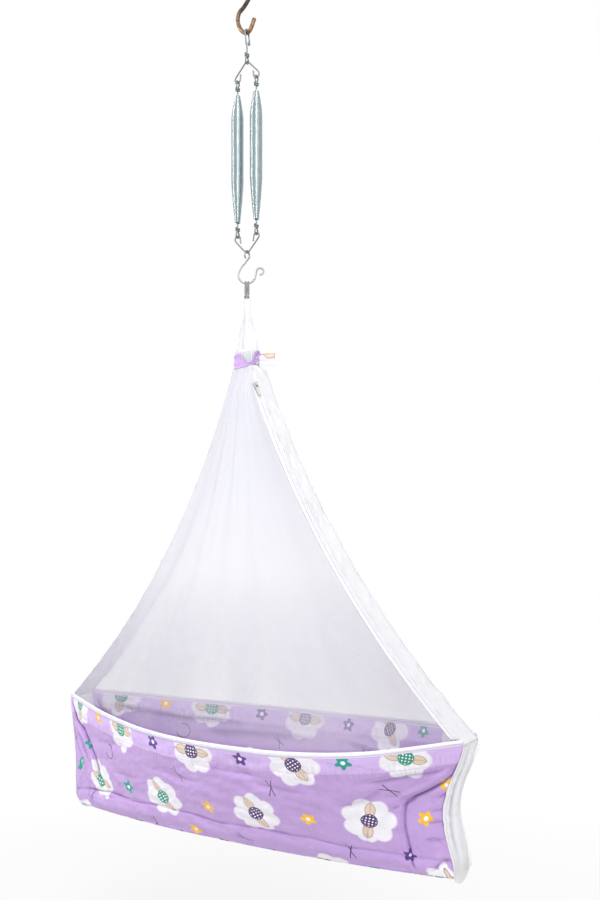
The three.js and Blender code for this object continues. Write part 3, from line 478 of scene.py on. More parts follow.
# Hanging strap: one length of white cotton webbing over the rings, with both legs bound into the
# neck. It is woven with a fine rib along its length and creased where the rings bear on it.
ring_bottom, neck_top, bound_bottom, neck_bottom = -635.6, -733, -763, -775
neck_core_length, neck_core_width = 15.5, 13


def laid_flat():
    """The place on the flat cloth in metres, whole and in its three parts."""
    flat = put("Attribute", attribute_name="flat")["Vector"]
    return flat, put("SeparateXYZ", {"Vector": flat})


def ribs(place, pitch, way, more):
    """Ribs at a pitch in metres."""
    scale = 2 * math.pi / pitch / 20
    return put("TexWave", {"Vector": place, "Scale": scale} | more, bands_direction=way)["Fac"]


white_cotton, tree, shader = blank("white_woven_cotton")
flat, split = laid_flat()
# Threads lie half a millimetre apart. They are drawn at 1.4 mm, so that the weave shows.
weave = count("MULTIPLY", *(ribs(flat, 0.0014, way, {"Distortion": 0.6, "Detail": 1}) for way in "XY"))
rumple = noise(flat, 42, 4)
# A row of stitches runs 3.4 mm inside each edge. They are 2.5 mm long, and are drawn at 5 mm.
row = count("COMPARE", split["Z"], 0.0034, 0.0006)
dash = count("LESS_THAN", count("FLOORED_MODULO", split["Y"], 0.005), 0.0034)
# Painted shade: the cloth is a little greyer where its rumples dip, and each stitch is greyer where it
# pulls the cloth in.
sewn_and_shaded = over(over("#F2F2F4", rumple, "#FCFCFD"), count("MULTIPLY", row, dash), "#D9D9DF")
# Painted shade: the bottom of a deep fold is darkened, where the fold keeps the light from it. Only the
# end panels have one.
sewn_and_shaded = over(sewn_and_shaded, span(split["Z"], 0.040, 0.054, 0, 0.75), "#BFC0CA")
pulled = relief(row, 0.4, -0.0006, relief(rumple, 0.5, 0.006))
fill(shader, {"Roughness": 0.85, "Sheen Weight": 0.25, "Base Color": sewn_and_shaded,
              "Normal": relief(weave, 0.25, 0.0003, pulled)})
layered(0.35, shader.outputs[0], put("BsdfTranslucent", {"Color": sewn_and_shaded})[0])


def stacked(x, y, z):
    """Points from their x, y and z, each spread over the same rows."""
    return np.stack(np.broadcast_arrays(x, y, z), axis=-1)


def cloth(name, points, thickness, aside=40.0, shift=(0, 0)):
    """A sheet of cloth from rows of points in millimetres, with its true flat places.

    Aside is each point's distance from the edge where that matters, or a mark for the painted shade
    in deep folds, and shift is where on the bolt the piece was cut.
    """
    across = travelled(points, axis=1)
    across -= across[:, [across.shape[1] // 2]]
    made = grid_mesh(name, points, flat=stacked(across + shift[0], travelled(points) + shift[1], aside))
    solid = made.modifiers.new("thickness", "SOLIDIFY")
    solid.thickness, solid.offset = thickness * MM, 0
    return made


def ease(value, low, high):
    """0 before low, 1 after high, and a smooth step between."""
    t = np.clip((np.asarray(value, float) - low) / (high - low), 0, 1)
    return t * t * (3 - 2 * t)


def mix(a, b, share):
    """The value at a share of the way from a to b."""
    return a + (b - a) * share


strap_reach, strap_ring_reach = neck_core_length + 0.3, ring_spacing + 2.0


def strap_leg(side):
    """One leg's line, from inside the neck up to the rings."""
    lines = [(strap_reach, bound_bottom), (strap_reach, neck_top)]
    lines += [(mix(strap_ring_reach, strap_reach, out), mix(ring_bottom, neck_top, down))
              for out, down in ((0.80, 0.86), (0.22, 0.55))]
    lines.append((strap_ring_reach * 0.86, mix(ring_bottom, neck_top, 0.22)))
    return [(side * x, 0, z) for x, z in lines]


over_rings = arc((0, 0, ring_bottom), X, Z, strap_ring_reach, 180, 0, 6)
strap_line = along_curve(strap_leg(-1) + over_rings + strap_leg(1)[::-1], 1.5)
spread = ease(ring_bottom - strap_line[:, 2], 0, 97.4)[:, None]
along = np.gradient(strap_line, axis=0)
out = unit(np.column_stack([-along[:, 2], 0 * along[:, 1], along[:, 0]]))
u = np.linspace(-0.5, 0.5, 33)[None]
width = mix(10, 2 * neck_core_width - 1, spread)
y = u * width
lift = (ring_radius - np.sqrt(ring_radius ** 2 - y ** 2)) * (1 - spread)
curl = 1.5 * np.cos(2 * np.pi * 2.6 * u + 0.7) * ease(spread, 0.02, 0.3)
curl = curl * (1 - 0.6 * ease(spread, 0.7, 1))
x = strap_line[:, [0]] + out[:, [0]] * (0.8 + curl)
# At the rings the strap is turned with them. It turns back on its way to the neck.
turned = s_turn * (1 - spread)
strap_points = stacked(x * np.cos(turned) - y * np.sin(turned), x * np.sin(turned) + y * np.cos(turned),
                       strap_line[:, [2]] + lift + out[:, [2]] * (0.8 + curl))
strap = cloth("hanging_strap_webbing", strap_points, 1.2, aside=(0.5 - np.abs(u)) * width)
dress(strap, white_cotton, "cradle", "white_cloth", "hanging_strap")

# Bands: two strips of the same white cotton, one down each end from the neck to the basket. They
# are cut narrow at the top, hang in a shallow curve, and ripple along their sewn edges.
reach, rim_z, base_z = {-1: 426, 1: 447}, -1424, -1642
neck_reach, bow = {-1: 18, 1: 30}, {-1: 50, 1: 42}
band_top_half, band_half_width, band_length, seam_gap = 20, 30, 780, 0.3
# Inside the tie the bands and the nets lie flat around the neck's core.
band_neck_place, net_neck_place, net_neck_half = 18.2, 13.9, 18


def band_line(side, fall):
    """A band's middle line: x and z at a share of its fall from the neck to the rim."""
    top = np.array([side * neck_reach[side], neck_bottom])
    chord = np.array([side * (reach[side] + seam_gap), rim_z + seam_gap]) - top
    inward = np.array([side * chord[1], -side * chord[0]]) / np.linalg.norm(chord)
    bowed = bow[side] * 4 * fall * (1 - fall)
    return top[0] + chord[0] * fall + inward[0] * bowed, top[1] + chord[1] * fall + inward[1] * bowed


def band_half(fall):
    return mix(band_top_half, band_half_width, fall)


def bell(value, middle, width):
    """1 at a middle, fading to 0 within two or three widths of it."""
    return np.exp(-((value - middle) / width) ** 2)


def hump(share):
    """0 at both ends of a share that runs from 0 to 1, and 1 halfway."""
    return np.sin(np.pi * share)


def rumpled(a, b, seed, size):
    """Soft irregular folds in a sheet: a sum of slow waves, from -1 to 1, over millimetres."""
    dice = np.random.default_rng(seed)
    total = 0
    for i in range(7):
        angle, phase, wave = (dice.uniform(0, 2 * np.pi), dice.uniform(0, 2 * np.pi),
                              size * dice.uniform(0.6, 1.7))
        total = total + np.sin(2 * np.pi * (a * math.cos(angle) + b * math.sin(angle)) / wave + phase)
    return total / 3.2


def opened(z):
    """0 for cloth that the tie holds, and 1 below the neck, where it is free."""
    return ease(-z, -bound_bottom, -neck_bottom)


fall = np.linspace(0, 1, 220)[:, None]
u = np.linspace(-1, 1, 33)[None]
bound = np.linspace(neck_top - 4, neck_bottom, 14)
length = band_length * fall
for side, name in left_and_right:
    x, z = band_line(side, fall)
    ripple = 1.5 * rumpled(u * 30, length, 11 + side, 75) + 0.7 * rumpled(u * 30, length, 17 + side, 24)
    ripple = ripple + 0.6 * np.abs(u) ** 3 * np.sin(length / 8 + 3 * np.sin(length / 47))
    # The cloth bunches a little above the rim.
    ripple = ripple + 2.6 * rumpled(u * 14, length * 2.2, 23 + side, 60) * bell(fall, 0.9, 0.07)
    ripple *= ease(fall, 0.02, 0.1) * (1 - ease(fall, 0.93, 1))
    body_rows = stacked(x + 0.8 * side + side * (1 + ripple), u * band_half(fall), z)
    neck = bound[:-1, None]
    open_out = opened(neck)
    neck_x = side * (mix(band_neck_place, neck_reach[side], open_out) + 0.6)
    neck_x = neck_x + 0.5 * np.sin(u * 14)
    neck_rows = stacked(neck_x, u * mix(neck_core_width, band_top_half, open_out), neck)
    rows = np.concatenate([neck_rows, body_rows])
    band = cloth(f"band_{name}_cotton", rows, 1.1, aside=np.abs(rows[:, :1, 1] * (1 - np.abs(u))))
    dress(band, white_cotton, "cradle", "white_cloth", f"band_{name}")

# Piping: a thin cord, covered with a strip of the white cotton. It is sewn in along the back of
# each band and down the back of each end.
piping_radius = 1.3


def sew_piping(name, line, node):
    """A covered cord along a line of points in millimetres."""
    cord = bent_wire(name, along_curve(line[::3], 3), piping_radius, sides=10)
    dress(cord, white_cotton, "cradle", "white_cloth", node)


for side, name in left_and_right:
    fall = np.linspace(0.03, 1, 90)
    x, z = band_line(side, fall)
    back_seam = stacked(x + side * 4.2, band_half(fall) - piping_radius, z)
    sew_piping(f"band_piping_{name}_cord", back_seam, f"band_piping_{name}")

# Canopy nets: two gores of fine white polyester tulle, gathered at the neck and sewn to the bands
# and the rim. One layer is half clear. The gathers crowd the threads, so it whitens upwards,
# and its colour is painted with shade low down and near the neck.
rim_half_width, front_sag, back_sag, tape_height, net_fall = 190, 19, 28, 9.5, 0.985
# How wide the rim is, as shares, at even steps from the left end to the right.
front_rim = (0, 0.33, 0.62, 0.86, 1, 1.05, 1.03, 0.76, 0)
back_rim = (0, 0.41, 0.7, 0.92, 1, 0.97, 0.86, 0.6, 0)
placket_turn, placket_width = math.radians(42), 14
placket_across = np.array([-math.cos(placket_turn), -math.sin(placket_turn), 0])

tulle, tree, shader = blank("white_polyester_tulle")
flat, split = laid_flat()
height = put("SeparateXYZ", {"Vector": put("TexCoord")["Object"]})["Z"]
# Its holes are 1.5 mm wide. They are drawn 2.8 mm apart, so that the net shows close up.
holes = put("TexVoronoi", {"Vector": flat, "Scale": 1 / 0.0028, "Randomness": 0.4},
            feature="DISTANCE_TO_EDGE", voronoi_dimensions="2D")["Distance"]
threads = span(holes, 0.06, 0.30, 0.05, -0.03)
crowded = span(height, -1.43, -0.80, 0.16, 0.66)
# Soft gathers fan down from the neck. Each one doubles the threads along a narrow streak.
drift = put("CombineXYZ", {"X": split["Z"], "Y": count("MULTIPLY", height, 0.25)})[0]
gathers = put("TexNoise", {"Vector": drift, "Scale": 6.5, "Detail": 1, "Roughness": 0.4},
              noise_dimensions="2D")["Fac"]
streaks = span(gathers, 0.35, 0.75, -0.05, 0.09)
cover = count("ADD", count("ADD", crowded, threads), streaks, use_clamp=True)
# Painted shade: the net is greyer low down, in the shade of the basket's inside, and a little greyer
# near the neck, where it lies in its own shade.
hue = over("#D2D0D8", span(height, -1.42, -1.15), "#F0F0F3")
hue = over(hue, span(height, -1.15, -0.90), "#E9E9EE")
fill(shader, {"Roughness": 0.8, "Base Color": hue})
lit_through = put("BsdfTranslucent", {"Color": hue})[0]
thin = put("MixShader", {"Fac": 0.5, 1: shader.outputs[0], 2: lit_through})[0]
layered(cover, put("BsdfTransparent")[0], thin)


def shares_along(shares, place):
    """A smooth curve through a table of shares, for places from -1 to 1."""
    table = np.array(shares, float)
    position = np.clip((np.asarray(place, float) + 1) / 2, 0, 1) * (len(table) - 1)
    start = np.minimum(position.astype(int), len(table) - 2)
    t = position - start
    slope = np.gradient(table)
    return ((2 * t ** 3 - 3 * t ** 2 + 1) * table[start] + (t ** 3 - 2 * t ** 2 + t) * slope[start]
            + (3 * t ** 2 - 2 * t ** 3) * table[start + 1] + (t ** 3 - t ** 2) * slope[start + 1])


def long_line(front, place, shares, half_width, length, z, sag):
    """A long edge of the basket at places from -1 at the left end to 1 at the right."""
    half = band_half_width + seam_gap + (half_width - band_half_width) * shares_along(shares, place)
    return stacked(place * length, -half if front else half, z - sag * (1 - place ** 2))


def rim_line(front, place):
    shares, sag = (front_rim, front_sag) if front else (back_rim, back_sag)
    return long_line(front, place, shares, rim_half_width, np.where(place < 0, reach[-1], reach[1]),
                     rim_z, sag)


def band_edge(side, sign, fall):
    """The sewn edge of a band, at its front where the sign is -1 and at its back where it is 1."""
    x, z = band_line(side, fall)
    return stacked(x + 0.8 * side, sign * (band_half(fall) + seam_gap), z)


def placket_reach(fall):
    """How wide the placket is beside the right band. It is tucked narrow under the tie."""
    return placket_width * mix(0.12, 1, np.clip(fall / 0.049, 0, 1))


def net_points(front, columns, seed):
    """The gore's points: its side lines, its gathered top, its rim, and the folds between them."""
    sign = -1 if front else 1

    def right(fall):
        edge = band_edge(1, sign, fall)
        return edge + placket_across * (placket_reach(fall) + seam_gap)[..., None] if front else edge

    u, share = np.linspace(0, 1, columns), np.linspace(0, 1, 110)
    fall = share * net_fall
    left_edge, right_edge = band_edge(-1, sign, fall), right(fall)
    rim_place = mix(left_edge[-1, 0] / reach[-1], right_edge[-1, 0] / reach[1], u)
    rim = rim_line(front, rim_place) + (0, 0, tape_height + 0.6)
    top = mix(left_edge[:1], right_edge[:1], u[:, None])
    between = mix(top[None], rim[None], share[:, None, None])
    points = between + (left_edge - between[:, 0])[:, None] * (1 - u)[None, :, None]
    points += (right_edge - between[:, -1])[:, None] * u[None, :, None]
    share = share[:, None]
    middle = hump(u) * hump(share)
    folds = 4 * middle * (np.cos(2 * np.pi * 5 * u) - 1)
    fine = 0.4 * hump(u) ** 0.5 * bell(share, 0.05, 0.22)
    folds = folds + fine * np.sin(2 * np.pi * 13 * u + seed) * ease(share, 0, 0.05)
    folds = folds + 1.5 * middle * rumpled(u * 500, share * 160, seed, 130)
    points[..., 1] += sign * folds
    # Above, the gore narrows to its flat place inside the tie.
    open_out = opened(bound[:-1])[:, None, None]
    pinched = stacked(mix(-net_neck_half, net_neck_half, u), sign * net_neck_place, 0)
    neck = mix(pinched, top * (1, 1, 0), open_out)
    neck[..., 1] += 0.6 * sign * np.sin(2 * np.pi * 9 * u) * (1 - open_out[..., 0])
    neck[..., 2] = bound[:-1, None]
    return np.concatenate([neck, points])


front_and_back = ((True, "front"), (False, "back"))
for front, name in front_and_back:
    net = cloth(f"canopy_net_{name}", net_points(front, 150, 3 if front else 8), 0.5,
                aside=np.linspace(0, 1000, 150))
    dress(net, tulle, "cradle", "net", f"net_{name}")

# Neck: the tops of nets, bands and strap, folded into 24 pleats and bound tight inside the tie.
# Only its trimmed top shows, between the legs of the strap.
turn = all_round(120)
square = 1 / np.maximum(np.abs(np.cos(turn)), np.abs(np.sin(turn))) ** 0.85
rows = []
for z, size in ((-733.4, 0.15), (-733.2, 0.5), (-733.0, 0.75), (-735, 0.88), (-745, 0.93), (-763, 0.93)):
    pleat = 1 - 0.05 * (1 + np.cos(turn * 24)) * (0.4 if z > -734 else 1)
    rows.append(stacked(neck_core_length * size * pleat * square * np.cos(turn),
                        neck_core_width * size * pleat * square * np.sin(turn), z))
gathered_net, tree, shader = blank("gathered_white_tulle")
layers = noise(put("TexCoord")["Object"], 500, 4)
# Painted shade: the gathered net is greyer where its layers dip.
fill(shader, {"Roughness": 0.9, "Base Color": over("#DCDCE2", layers, "#F4F4F7"),
              "Normal": relief(layers, 0.5, 0.001)})
core = grid_mesh("neck_core_pleats", np.array(rows), around=True)
dress(core, gathered_net, "cradle", "gathered_net", "neck_gather")

# Print: the basket's cotton, printed on lilac. Scalloped white patches hold a dotted berry between
# two leaves, in a half-drop repeat with soft stars and thin open lines. The design is a generic one.
printed_cotton, tree, shader = blank("printed_lilac_cotton")
flat, split = laid_flat()
repeat_wide, repeat_tall = 0.205, 0.128


def times(*values):
    return count("MULTIPLY", *values)


def more_than(value, edge):
    return count("GREATER_THAN", value, edge)


def within(distance, edge, soft=0.0006):
    """1 where a distance is less than an edge, in metres, with the soft border of a print."""
    return span(distance, count("ADD", edge, soft), edge)


def motif(right, down):
    """One motif of the repeat: the place around its middle, turned its own way, and its chances."""
    row = count("DIVIDE", count("ADD", split["Y"], down * repeat_tall), repeat_tall)
    column = count("DIVIDE", count("ADD", split["X"], right * repeat_wide), repeat_wide)
    lattice = put("CombineXYZ", {"X": count("MULTIPLY_ADD", row, 0.5, column), "Y": row})[0]
    middle = put("TexVoronoi", {"Vector": lattice, "Scale": 1, "Randomness": 0.13},
                 voronoi_dimensions="2D")
    off = put("VectorMath", {0: lattice, 1: middle["Position"]}, operation="SUBTRACT")[0]
    off = put("SeparateXYZ", {"Vector": off})
    x = times(count("MULTIPLY_ADD", off["Y"], -0.5, off["X"]), repeat_wide)
    level = put("CombineXYZ", {"X": x, "Y": times(off["Y"], repeat_tall)})[0]
    chance = put("SeparateColor", {"Color": middle["Color"]})
    turned = put("VectorRotate", {"Vector": level, "Angle": times(chance["Blue"], 6.28)},
                 rotation_type="Z_AXIS")[0]
    x, y = put("SeparateXYZ", {"Vector": turned})[:2]
    distance = put("VectorMath", {0: turned}, operation="LENGTH")["Value"]
    return x, y, distance, count("ARCTAN2", y, x), chance["Red"], chance["Green"]


hemmed = more_than(split["Z"], 0.025)
# Pieces without a hem are measured from a metre down the bolt.
down_cloth = count("ADD", split["Y"], count("SUBTRACT", 1, hemmed))
ink_and_shade = over("#B08EC8", noise(flat, 25, 4), "#C4A6DA")
ink_and_shade = over(ink_and_shade, times(within(down_cloth, 0.0295), 0.6), "#DABFF3")

# Thin open lines: a hooked loop or a pair of crossed strokes, half a millimetre of dark ink that is
# drawn at 1.7 mm.
x, y, distance, angle, red, green = motif(0.75, 0.5)
loop_line = times(count("COMPARE", distance, 0.0145, 0.0009), count("LESS_THAN", angle, 1.7))
tilted = count("MULTIPLY_ADD", x, 0.6, times(y, 0.8))
strokes = count("MAXIMUM", *(count("COMPARE", off, 0, 0.0008) for off in (y, tilted)))
lines = put("Mix", {0: more_than(red, 0.5), 2: loop_line, 3: times(strokes, within(distance, 0.017))})[0]
ink_and_shade = over(ink_and_shade, lines, "#3A2247")

# Soft five-pointed stars in teal, gold or purple, with a white button.
for right, down, kept in ((0.5, 0.0, 0.0), (0.25, 0.5, 0.45)):
    x, y, distance, angle, red, green = motif(right, down)
    edge = count("MULTIPLY_ADD", count("COSINE", times(angle, 5)), 0.0029, 0.0112)
    colour = over("#1B9A87", more_than(red, 0.36), "#F3BF2B")
    colour = over(colour, more_than(red, 0.68), "#5A3788")
    star = times(within(distance, edge), more_than(green, kept))
    ink_and_shade = over(ink_and_shade, star, colour)
    ink_and_shade = over(ink_and_shade, times(star, within(distance, 0.0036)), "#F6F2FA")

# Scalloped white patches with a dotted berry and two leaves.
x, y, distance, angle, red, green = motif(0.0, 0.0)
lobes = count("ABSOLUTE", count("COSINE", times(angle, 3.5)))
patch = within(distance, count("MULTIPLY_ADD", lobes, 0.0085, 0.0355), soft=0.0040)
leaf_x = count("SUBTRACT", count("ABSOLUTE", x), 0.0215)
leaf_y = count("ADD", count("ABSOLUTE", y), 0.0100)
leaf = count("SQRT", count("MULTIPLY_ADD", leaf_x, leaf_x, times(leaf_y, leaf_y)))
vein = times(count("COMPARE", y, 0, 0.0004), within(leaf, 0.0170))
berry = over("#179078", more_than(red, 0.5), "#4B2C6B")
dots = put("TexVoronoi", {"Vector": put("CombineXYZ", {"X": x, "Y": y})[0], "Scale": 1 / 0.0058,
                          "Randomness": 0}, voronoi_dimensions="2D")["Distance"]
dotted = times(within(dots, 0.22, soft=0.10), within(distance, 0.0118))
for mask, colour in ((patch, "#E9E6EE"), (within(leaf, 0.0186), "#8A6B5B"),
                     (within(leaf, 0.0177), "#DCC7B4"), (vein, "#A98B78"),
                     (within(distance, 0.0138), berry), (dotted, "#F6F3F6")):
    ink_and_shade = over(ink_and_shade, mask, colour)

# The hem's seam, 30 mm down: a pressed groove with a row of stitches, drawn 4 mm long.
seam = count("COMPARE", down_cloth, 0.0302, 0.0007)
stitches = times(seam, count("LESS_THAN", count("FLOORED_MODULO", split["X"], 0.004), 0.0027))
ink_and_shade = over(ink_and_shade, times(seam, 0.35), "#9C78BC")
ink_and_shade = over(ink_and_shade, times(stitches, 0.6), "#E6D6F4")
# Painted shade: each crease's narrow bottom is darkened, where its sides keep the light from it.
ink_and_shade = over(ink_and_shade, times(span(split["Z"], 0.0388, 0.0325, 0, 0.82), hemmed), "#5B3A78")
# Poplin threads are a third of a millimetre apart. They are drawn at 1.3 mm.
poplin = ribs(flat, 0.0013, "Y", {"Distortion": 0.8})
crumple = noise(flat, 30, 6, Roughness=0.42, Distortion=0.6)
# Puckers run across the hem's seam every 9 mm.
puckers = ribs(flat, 0.009, "X", {"Distortion": 3, "Detail": 2, "Detail Scale": 0.6})
puckers = times(puckers, count("COMPARE", down_cloth, 0.029, 0.017))
pressed = relief(seam, 0.5, -0.0008, relief(puckers, 0.45, 0.0022, relief(crumple, 0.8, 0.009)))
fill(shader, {"Roughness": 0.75, "Sheen Weight": 0.12, "Base Color": ink_and_shade,
              "Normal": relief(poplin, 0.12, 0.0003, pressed)})

# Basket walls: two long panels of the print, sewn into the rim above and the floor below. Their
# own weight and the pad pull them into folds: fans from the corners, and a crease over the pad.
base_half_width, base_shortening, base_arch, corner_round = 96, 16, 12, 13
pinch, panel_bulge, pad_press = {-1: 6, 1: 28}, 9, 4.5
wall_height, hem_drop = rim_z - base_z, 30
base_shares = (0, 0.42, 0.74, 0.94, 1, 0.95, 0.78, 0.46, 0)


def base_line(front, place):
    length = np.where(place < 0, reach[-1] - corner_round, reach[1]) - base_shortening
    return long_line(front, place, base_shares, base_half_width, length, base_z, -base_arch)


def end_x(side, fall):
    """How far out an end stands, at a share of its fall from the rim to the base."""
    turned_in = corner_round * np.clip((fall - 0.91) / 0.09, 0, 1) ** 2 if side < 0 else 0
    return side * (reach[side] - base_shortening * fall - pinch[side] * hump(fall) ** 1.6 - turned_in)


def crease(x, drop, line, depth, width):
    """A fold along a bent line in the cloth: a narrow valley beside a soft ridge, with faded ends."""
    line = np.array(line, float)
    steps = np.linspace(0, len(line) - 1, 30)
    path = np.column_stack([np.interp(steps, np.arange(len(line)), line[:, k]) for k in (0, 1)])
    way = unit(np.gradient(path, axis=0))
    off = np.stack(np.broadcast_arrays(x, drop), axis=-1)[:, :, None] - path
    near = np.argmin((off ** 2).sum(-1), axis=-1)
    off = np.take_along_axis(off, near[..., None, None], axis=2)[:, :, 0]
    ahead = (off * way[near]).sum(-1) / np.linalg.norm(np.diff(line, axis=0), axis=1).sum()
    aside = (off[..., 1] * way[near][..., 0] - off[..., 0] * way[near][..., 1]) / width
    along = near / 29 + ahead
    fade = ease(along, -0.1, 0.15) * (1 - ease(along, 0.7, 1.1))
    return depth * fade * (0.75 * np.exp(-(aside / 1.4 - 1.1) ** 2) - np.exp(-np.abs(aside) ** 1.4))


def wall_points(front, columns, rows, folds, seed):
    """The wall's points, and how deep in a crease each one lies, which sets the painted shade there."""
    place = np.linspace(-1, 1, columns)[None]
    fall = np.linspace(0, 1, rows)[:, None]
    points = mix(rim_line(front, place[0])[None], base_line(front, place[0])[None], fall[..., None])
    swell = panel_bulge * hump(fall) * (1 - place ** 4)
    # The pad presses out the cloth below its top edge and draws in a line along it.
    pad_edge = 0.77 + 0.12 * place ** 2 + 0.010 * np.sin(9 * place + 1) + 0.005 * np.sin(23 * place)
    beside_pad = bell(fall, (pad_edge + 0.99) / 2, 0.06)
    swell = swell + pad_press * beside_pad * (1 - place ** 8) * (1 - ease(fall, 0.93, 1))
    swell = swell - pad_press * bell(fall, pad_edge, 0.018)
    x = np.abs(place) * np.where(place < 0, end_x(-1, fall), end_x(1, fall))
    drop = fall * wall_height
    calm = ease(fall, 0.0, 0.09) * (1 - ease(fall, 0.965, 1))
    creased = sum(crease(x, drop, *fold) for fold in folds)
    rough = (creased + 2.2 * rumpled(x, drop, seed, 160)
             + 1.2 * rumpled(x * 0.55, drop, seed + 1, 42) + 0.5 * rumpled(x * 0.8, drop, seed + 2, 21))
    hem = 0.9 * bell(drop, hem_drop, 2.2)
    puckers = 0.45 * np.sin(x / 3.1 + 2 * np.sin(x / 41)) * bell(drop, hem_drop + 1, 11)
    inside = 1 - 0.8 * np.abs(place) ** 40
    points[..., 1] += (-1 if front else 1) * (1 + swell + calm * (rough - hem + puckers) * inside)
    points[..., 0] = x
    return points, 40 - np.clip(-1.2 * creased, 0, 10)


# Each fold's line, in millimetres across from the middle and down from the rim, its depth and width.
front_folds = (
    (((440, 28), (430, 47), (415, 61), (393, 74), (372, 84), (352, 94)), 10, 4.2),
    (((436, 56), (421, 78), (403, 90)), 6.5, 4), (((378, 86), (359, 98), (343, 101)), 4.5, 4),
    (((438, 33), (409, 40), (377, 41), (342, 47), (300, 52)), 5, 6),
    (((366, 91), (361, 112), (361, 136), (365, 171), (369, 203), (374, 216)), 6.5, 2.7),
    (((432, 94), (415, 106), (390, 112)), 4.5, 4),
    (((430, 122), (414, 128), (402, 128), (386, 131)), 4.5, 4),
    (((428, 150), (405, 158), (385, 157)), 3.5, 5), (((422, 188), (408, 197), (396, 212)), 5, 4),
    (((340, 62), (310, 84), (262, 98)), 3.5, 9), (((300, 110), (306, 150), (300, 178)), 2.4, 7),
    (((-424, 6), (-402, 45), (-362, 59), (-333, 85), (-314, 109), (-309, 136), (-288, 162)), 10, 5.5),
    (((-420, 34), (-398, 66), (-374, 96), (-348, 124)), 6, 5),
    (((-414, 80), (-396, 112), (-386, 150)), 3.5, 5),
    (((-366, 182), (-335, 180), (-269, 171), (-231, 173), (-190, 169)), 6, 4),
    (((-364, 184), (-357, 199), (-344, 214)), 4.5, 4), (((-300, 62), (-170, 44)), 3, 10),
    (((-250, 118), (-150, 112)), 2.4, 9), (((-140, 74), (40, 84)), 2.4, 11),
    (((20, 42), (170, 47)), 2.4, 7), (((120, 60), (250, 74)), 2.8, 9),
    (((-100, 130), (-84, 165)), 2.2, 6), (((60, 120), (150, 136)), 2.2, 8))
back_folds = (
    (((-420, 8), (-380, 70), (-330, 120)), 8, 7), (((-390, 20), (-250, 34), (-120, 34)), 6, 6),
    (((-200, 60), (60, 52)), 5, 8), (((330, 70), (200, 62), (100, 46)), 6, 8),
    (((440, 16), (380, 50), (340, 72)), 8, 6), (((430, 60), (380, 120)), 6, 6),
    (((-300, 150), (-100, 160)), 4, 8), (((120, 170), (300, 176)), 4, 8))
for front, name in front_and_back:
    points, crease_shade_depth = (wall_points(True, 440, 110, front_folds, 21) if front
                          else wall_points(False, 360, 90, back_folds, 34))
    wall = cloth(f"basket_{name}_cloth", points, 1.2, aside=crease_shade_depth)
    dress(wall, printed_cotton, "cradle", "print_cloth", f"{name}_wall")

# End panels: white cotton from the bands down, sewn between the two walls. They are pulled in
# halfway and fold once down their middle. Their lower seam hangs in a small pocket.
panel_half = 32.6
u = np.linspace(-1, 1, 31)[None]
v = np.linspace(0, 1, 80)[:, None]
for side, name in left_and_right:
    fall = np.minimum(v * 6 / 5, 1)
    below = np.clip(v * 6 - 5, 0, 1) * (2.3 + 13 * (1 - u ** 2))
    held = hump(fall)
    swell = 11 * held * (1 - u ** 2) ** 0.6
    hollow = bell(u + 0.1 + 0.25 * np.sin(3 * fall), 0, 0.22) * held ** 0.7
    tuck = -11 * hollow + (1.5 * rumpled(u * 32, fall * wall_height, 5 + side, 60)
                           + 0.9 * rumpled(u * 32, fall * 300, 9 + side, 26)) * held
    x = end_x(side, fall) + side * (1.3 + np.maximum(swell + tuck, 0))
    # The aside mark grows in the hollow, where the cotton is painted with shade.
    end = cloth(f"end_panel_{name}", stacked(x, u * panel_half, mix(rim_z, base_z, fall) - below), 1.1,
                aside=panel_half * (1 - np.abs(u)) + 32 * hollow)
    dress(end, white_cotton, "cradle", "white_cloth", f"end_wall_{name}")
    fall = np.linspace(0.04, 1, 50)
    back_seam = stacked(end_x(side, fall) + side * 5.7, 30.7, mix(rim_z, base_z, fall))
    sew_piping(f"end_piping_{name}_cord", back_seam, f"end_piping_{name}")

# Floor: the same print, sewn to the lower edges of the walls and ends. The pad presses it flat,
# and it sags a little between its seams.
edge = base_line(True, np.linspace(-1, 1, 160))[None]
v = np.linspace(1, -1, 40)[:, None]
sag = 0.8 * rumpled(edge[..., 0], v * 96, 40, 120) * (1 - v ** 4) - 0.4 * (1 - v ** 2)
floor_cloth = cloth("basket_floor_cloth",
                    stacked(edge[..., 0], v * (edge[..., 1] - 1), edge[..., 2] - 1.3 + sag), 1.2)
dress(floor_cloth, printed_cotton, "cradle", "print_cloth", "base_cloth")

# Pad: a foam mattress that lies loose on the floor, in a quilted white cotton cover. It is crowned
# in the middle, and the cover's seam runs around its edge.
pad_thickness, pad_crown = 33, 5
pad_white, tree, shader = blank("white_cotton_pad_cover")
place = put("TexCoord")["Object"]
puffs = put("TexVoronoi", {"Vector": place, "Scale": 1 / 0.045, "Randomness": 0.2},
            feature="SMOOTH_F1")["Distance"]
napped = relief(noise(place, 700, 2), 0.2, 0.0005, relief(puffs, 0.5, -0.004))
# Painted shade: the cover greys towards each quilted dip.
fill(shader, {"Roughness": 0.9, "Sheen Weight": 0.2, "Base Color": over("#FAFAFA", puffs, "#E9E9EC"),
              "Normal": napped})
turn = all_round(64)
rings = []
for place in np.linspace(-0.985, 0.985, 90):
    taper = math.sqrt(1 - 0.75 * abs(place) ** 6)
    edge = base_line(True, np.array([place]))[0]
    half = (-edge[1] - 5.6) * taper
    height = pad_thickness * mix(0.72, 1, taper) + pad_crown * (1 - place ** 2) - 2
    across = np.sign(np.cos(turn)) * np.abs(np.cos(turn)) ** 0.5
    rise = (np.sign(np.sin(turn)) * np.abs(np.sin(turn)) ** 0.7 + 1) / 2
    pinched = 1 - 0.012 * bell(rise, 0.5, 0.05) * 3
    dimple = 1.2 * np.abs(rumpled(edge[0], half * across, 50, 110)) * (rise > 0.6)
    rings.append(stacked(edge[0], half * across * pinched, edge[2] + 0.4 + height * rise - dimple))
pad = grid_mesh("basket_pad", np.array(rings), around=True)
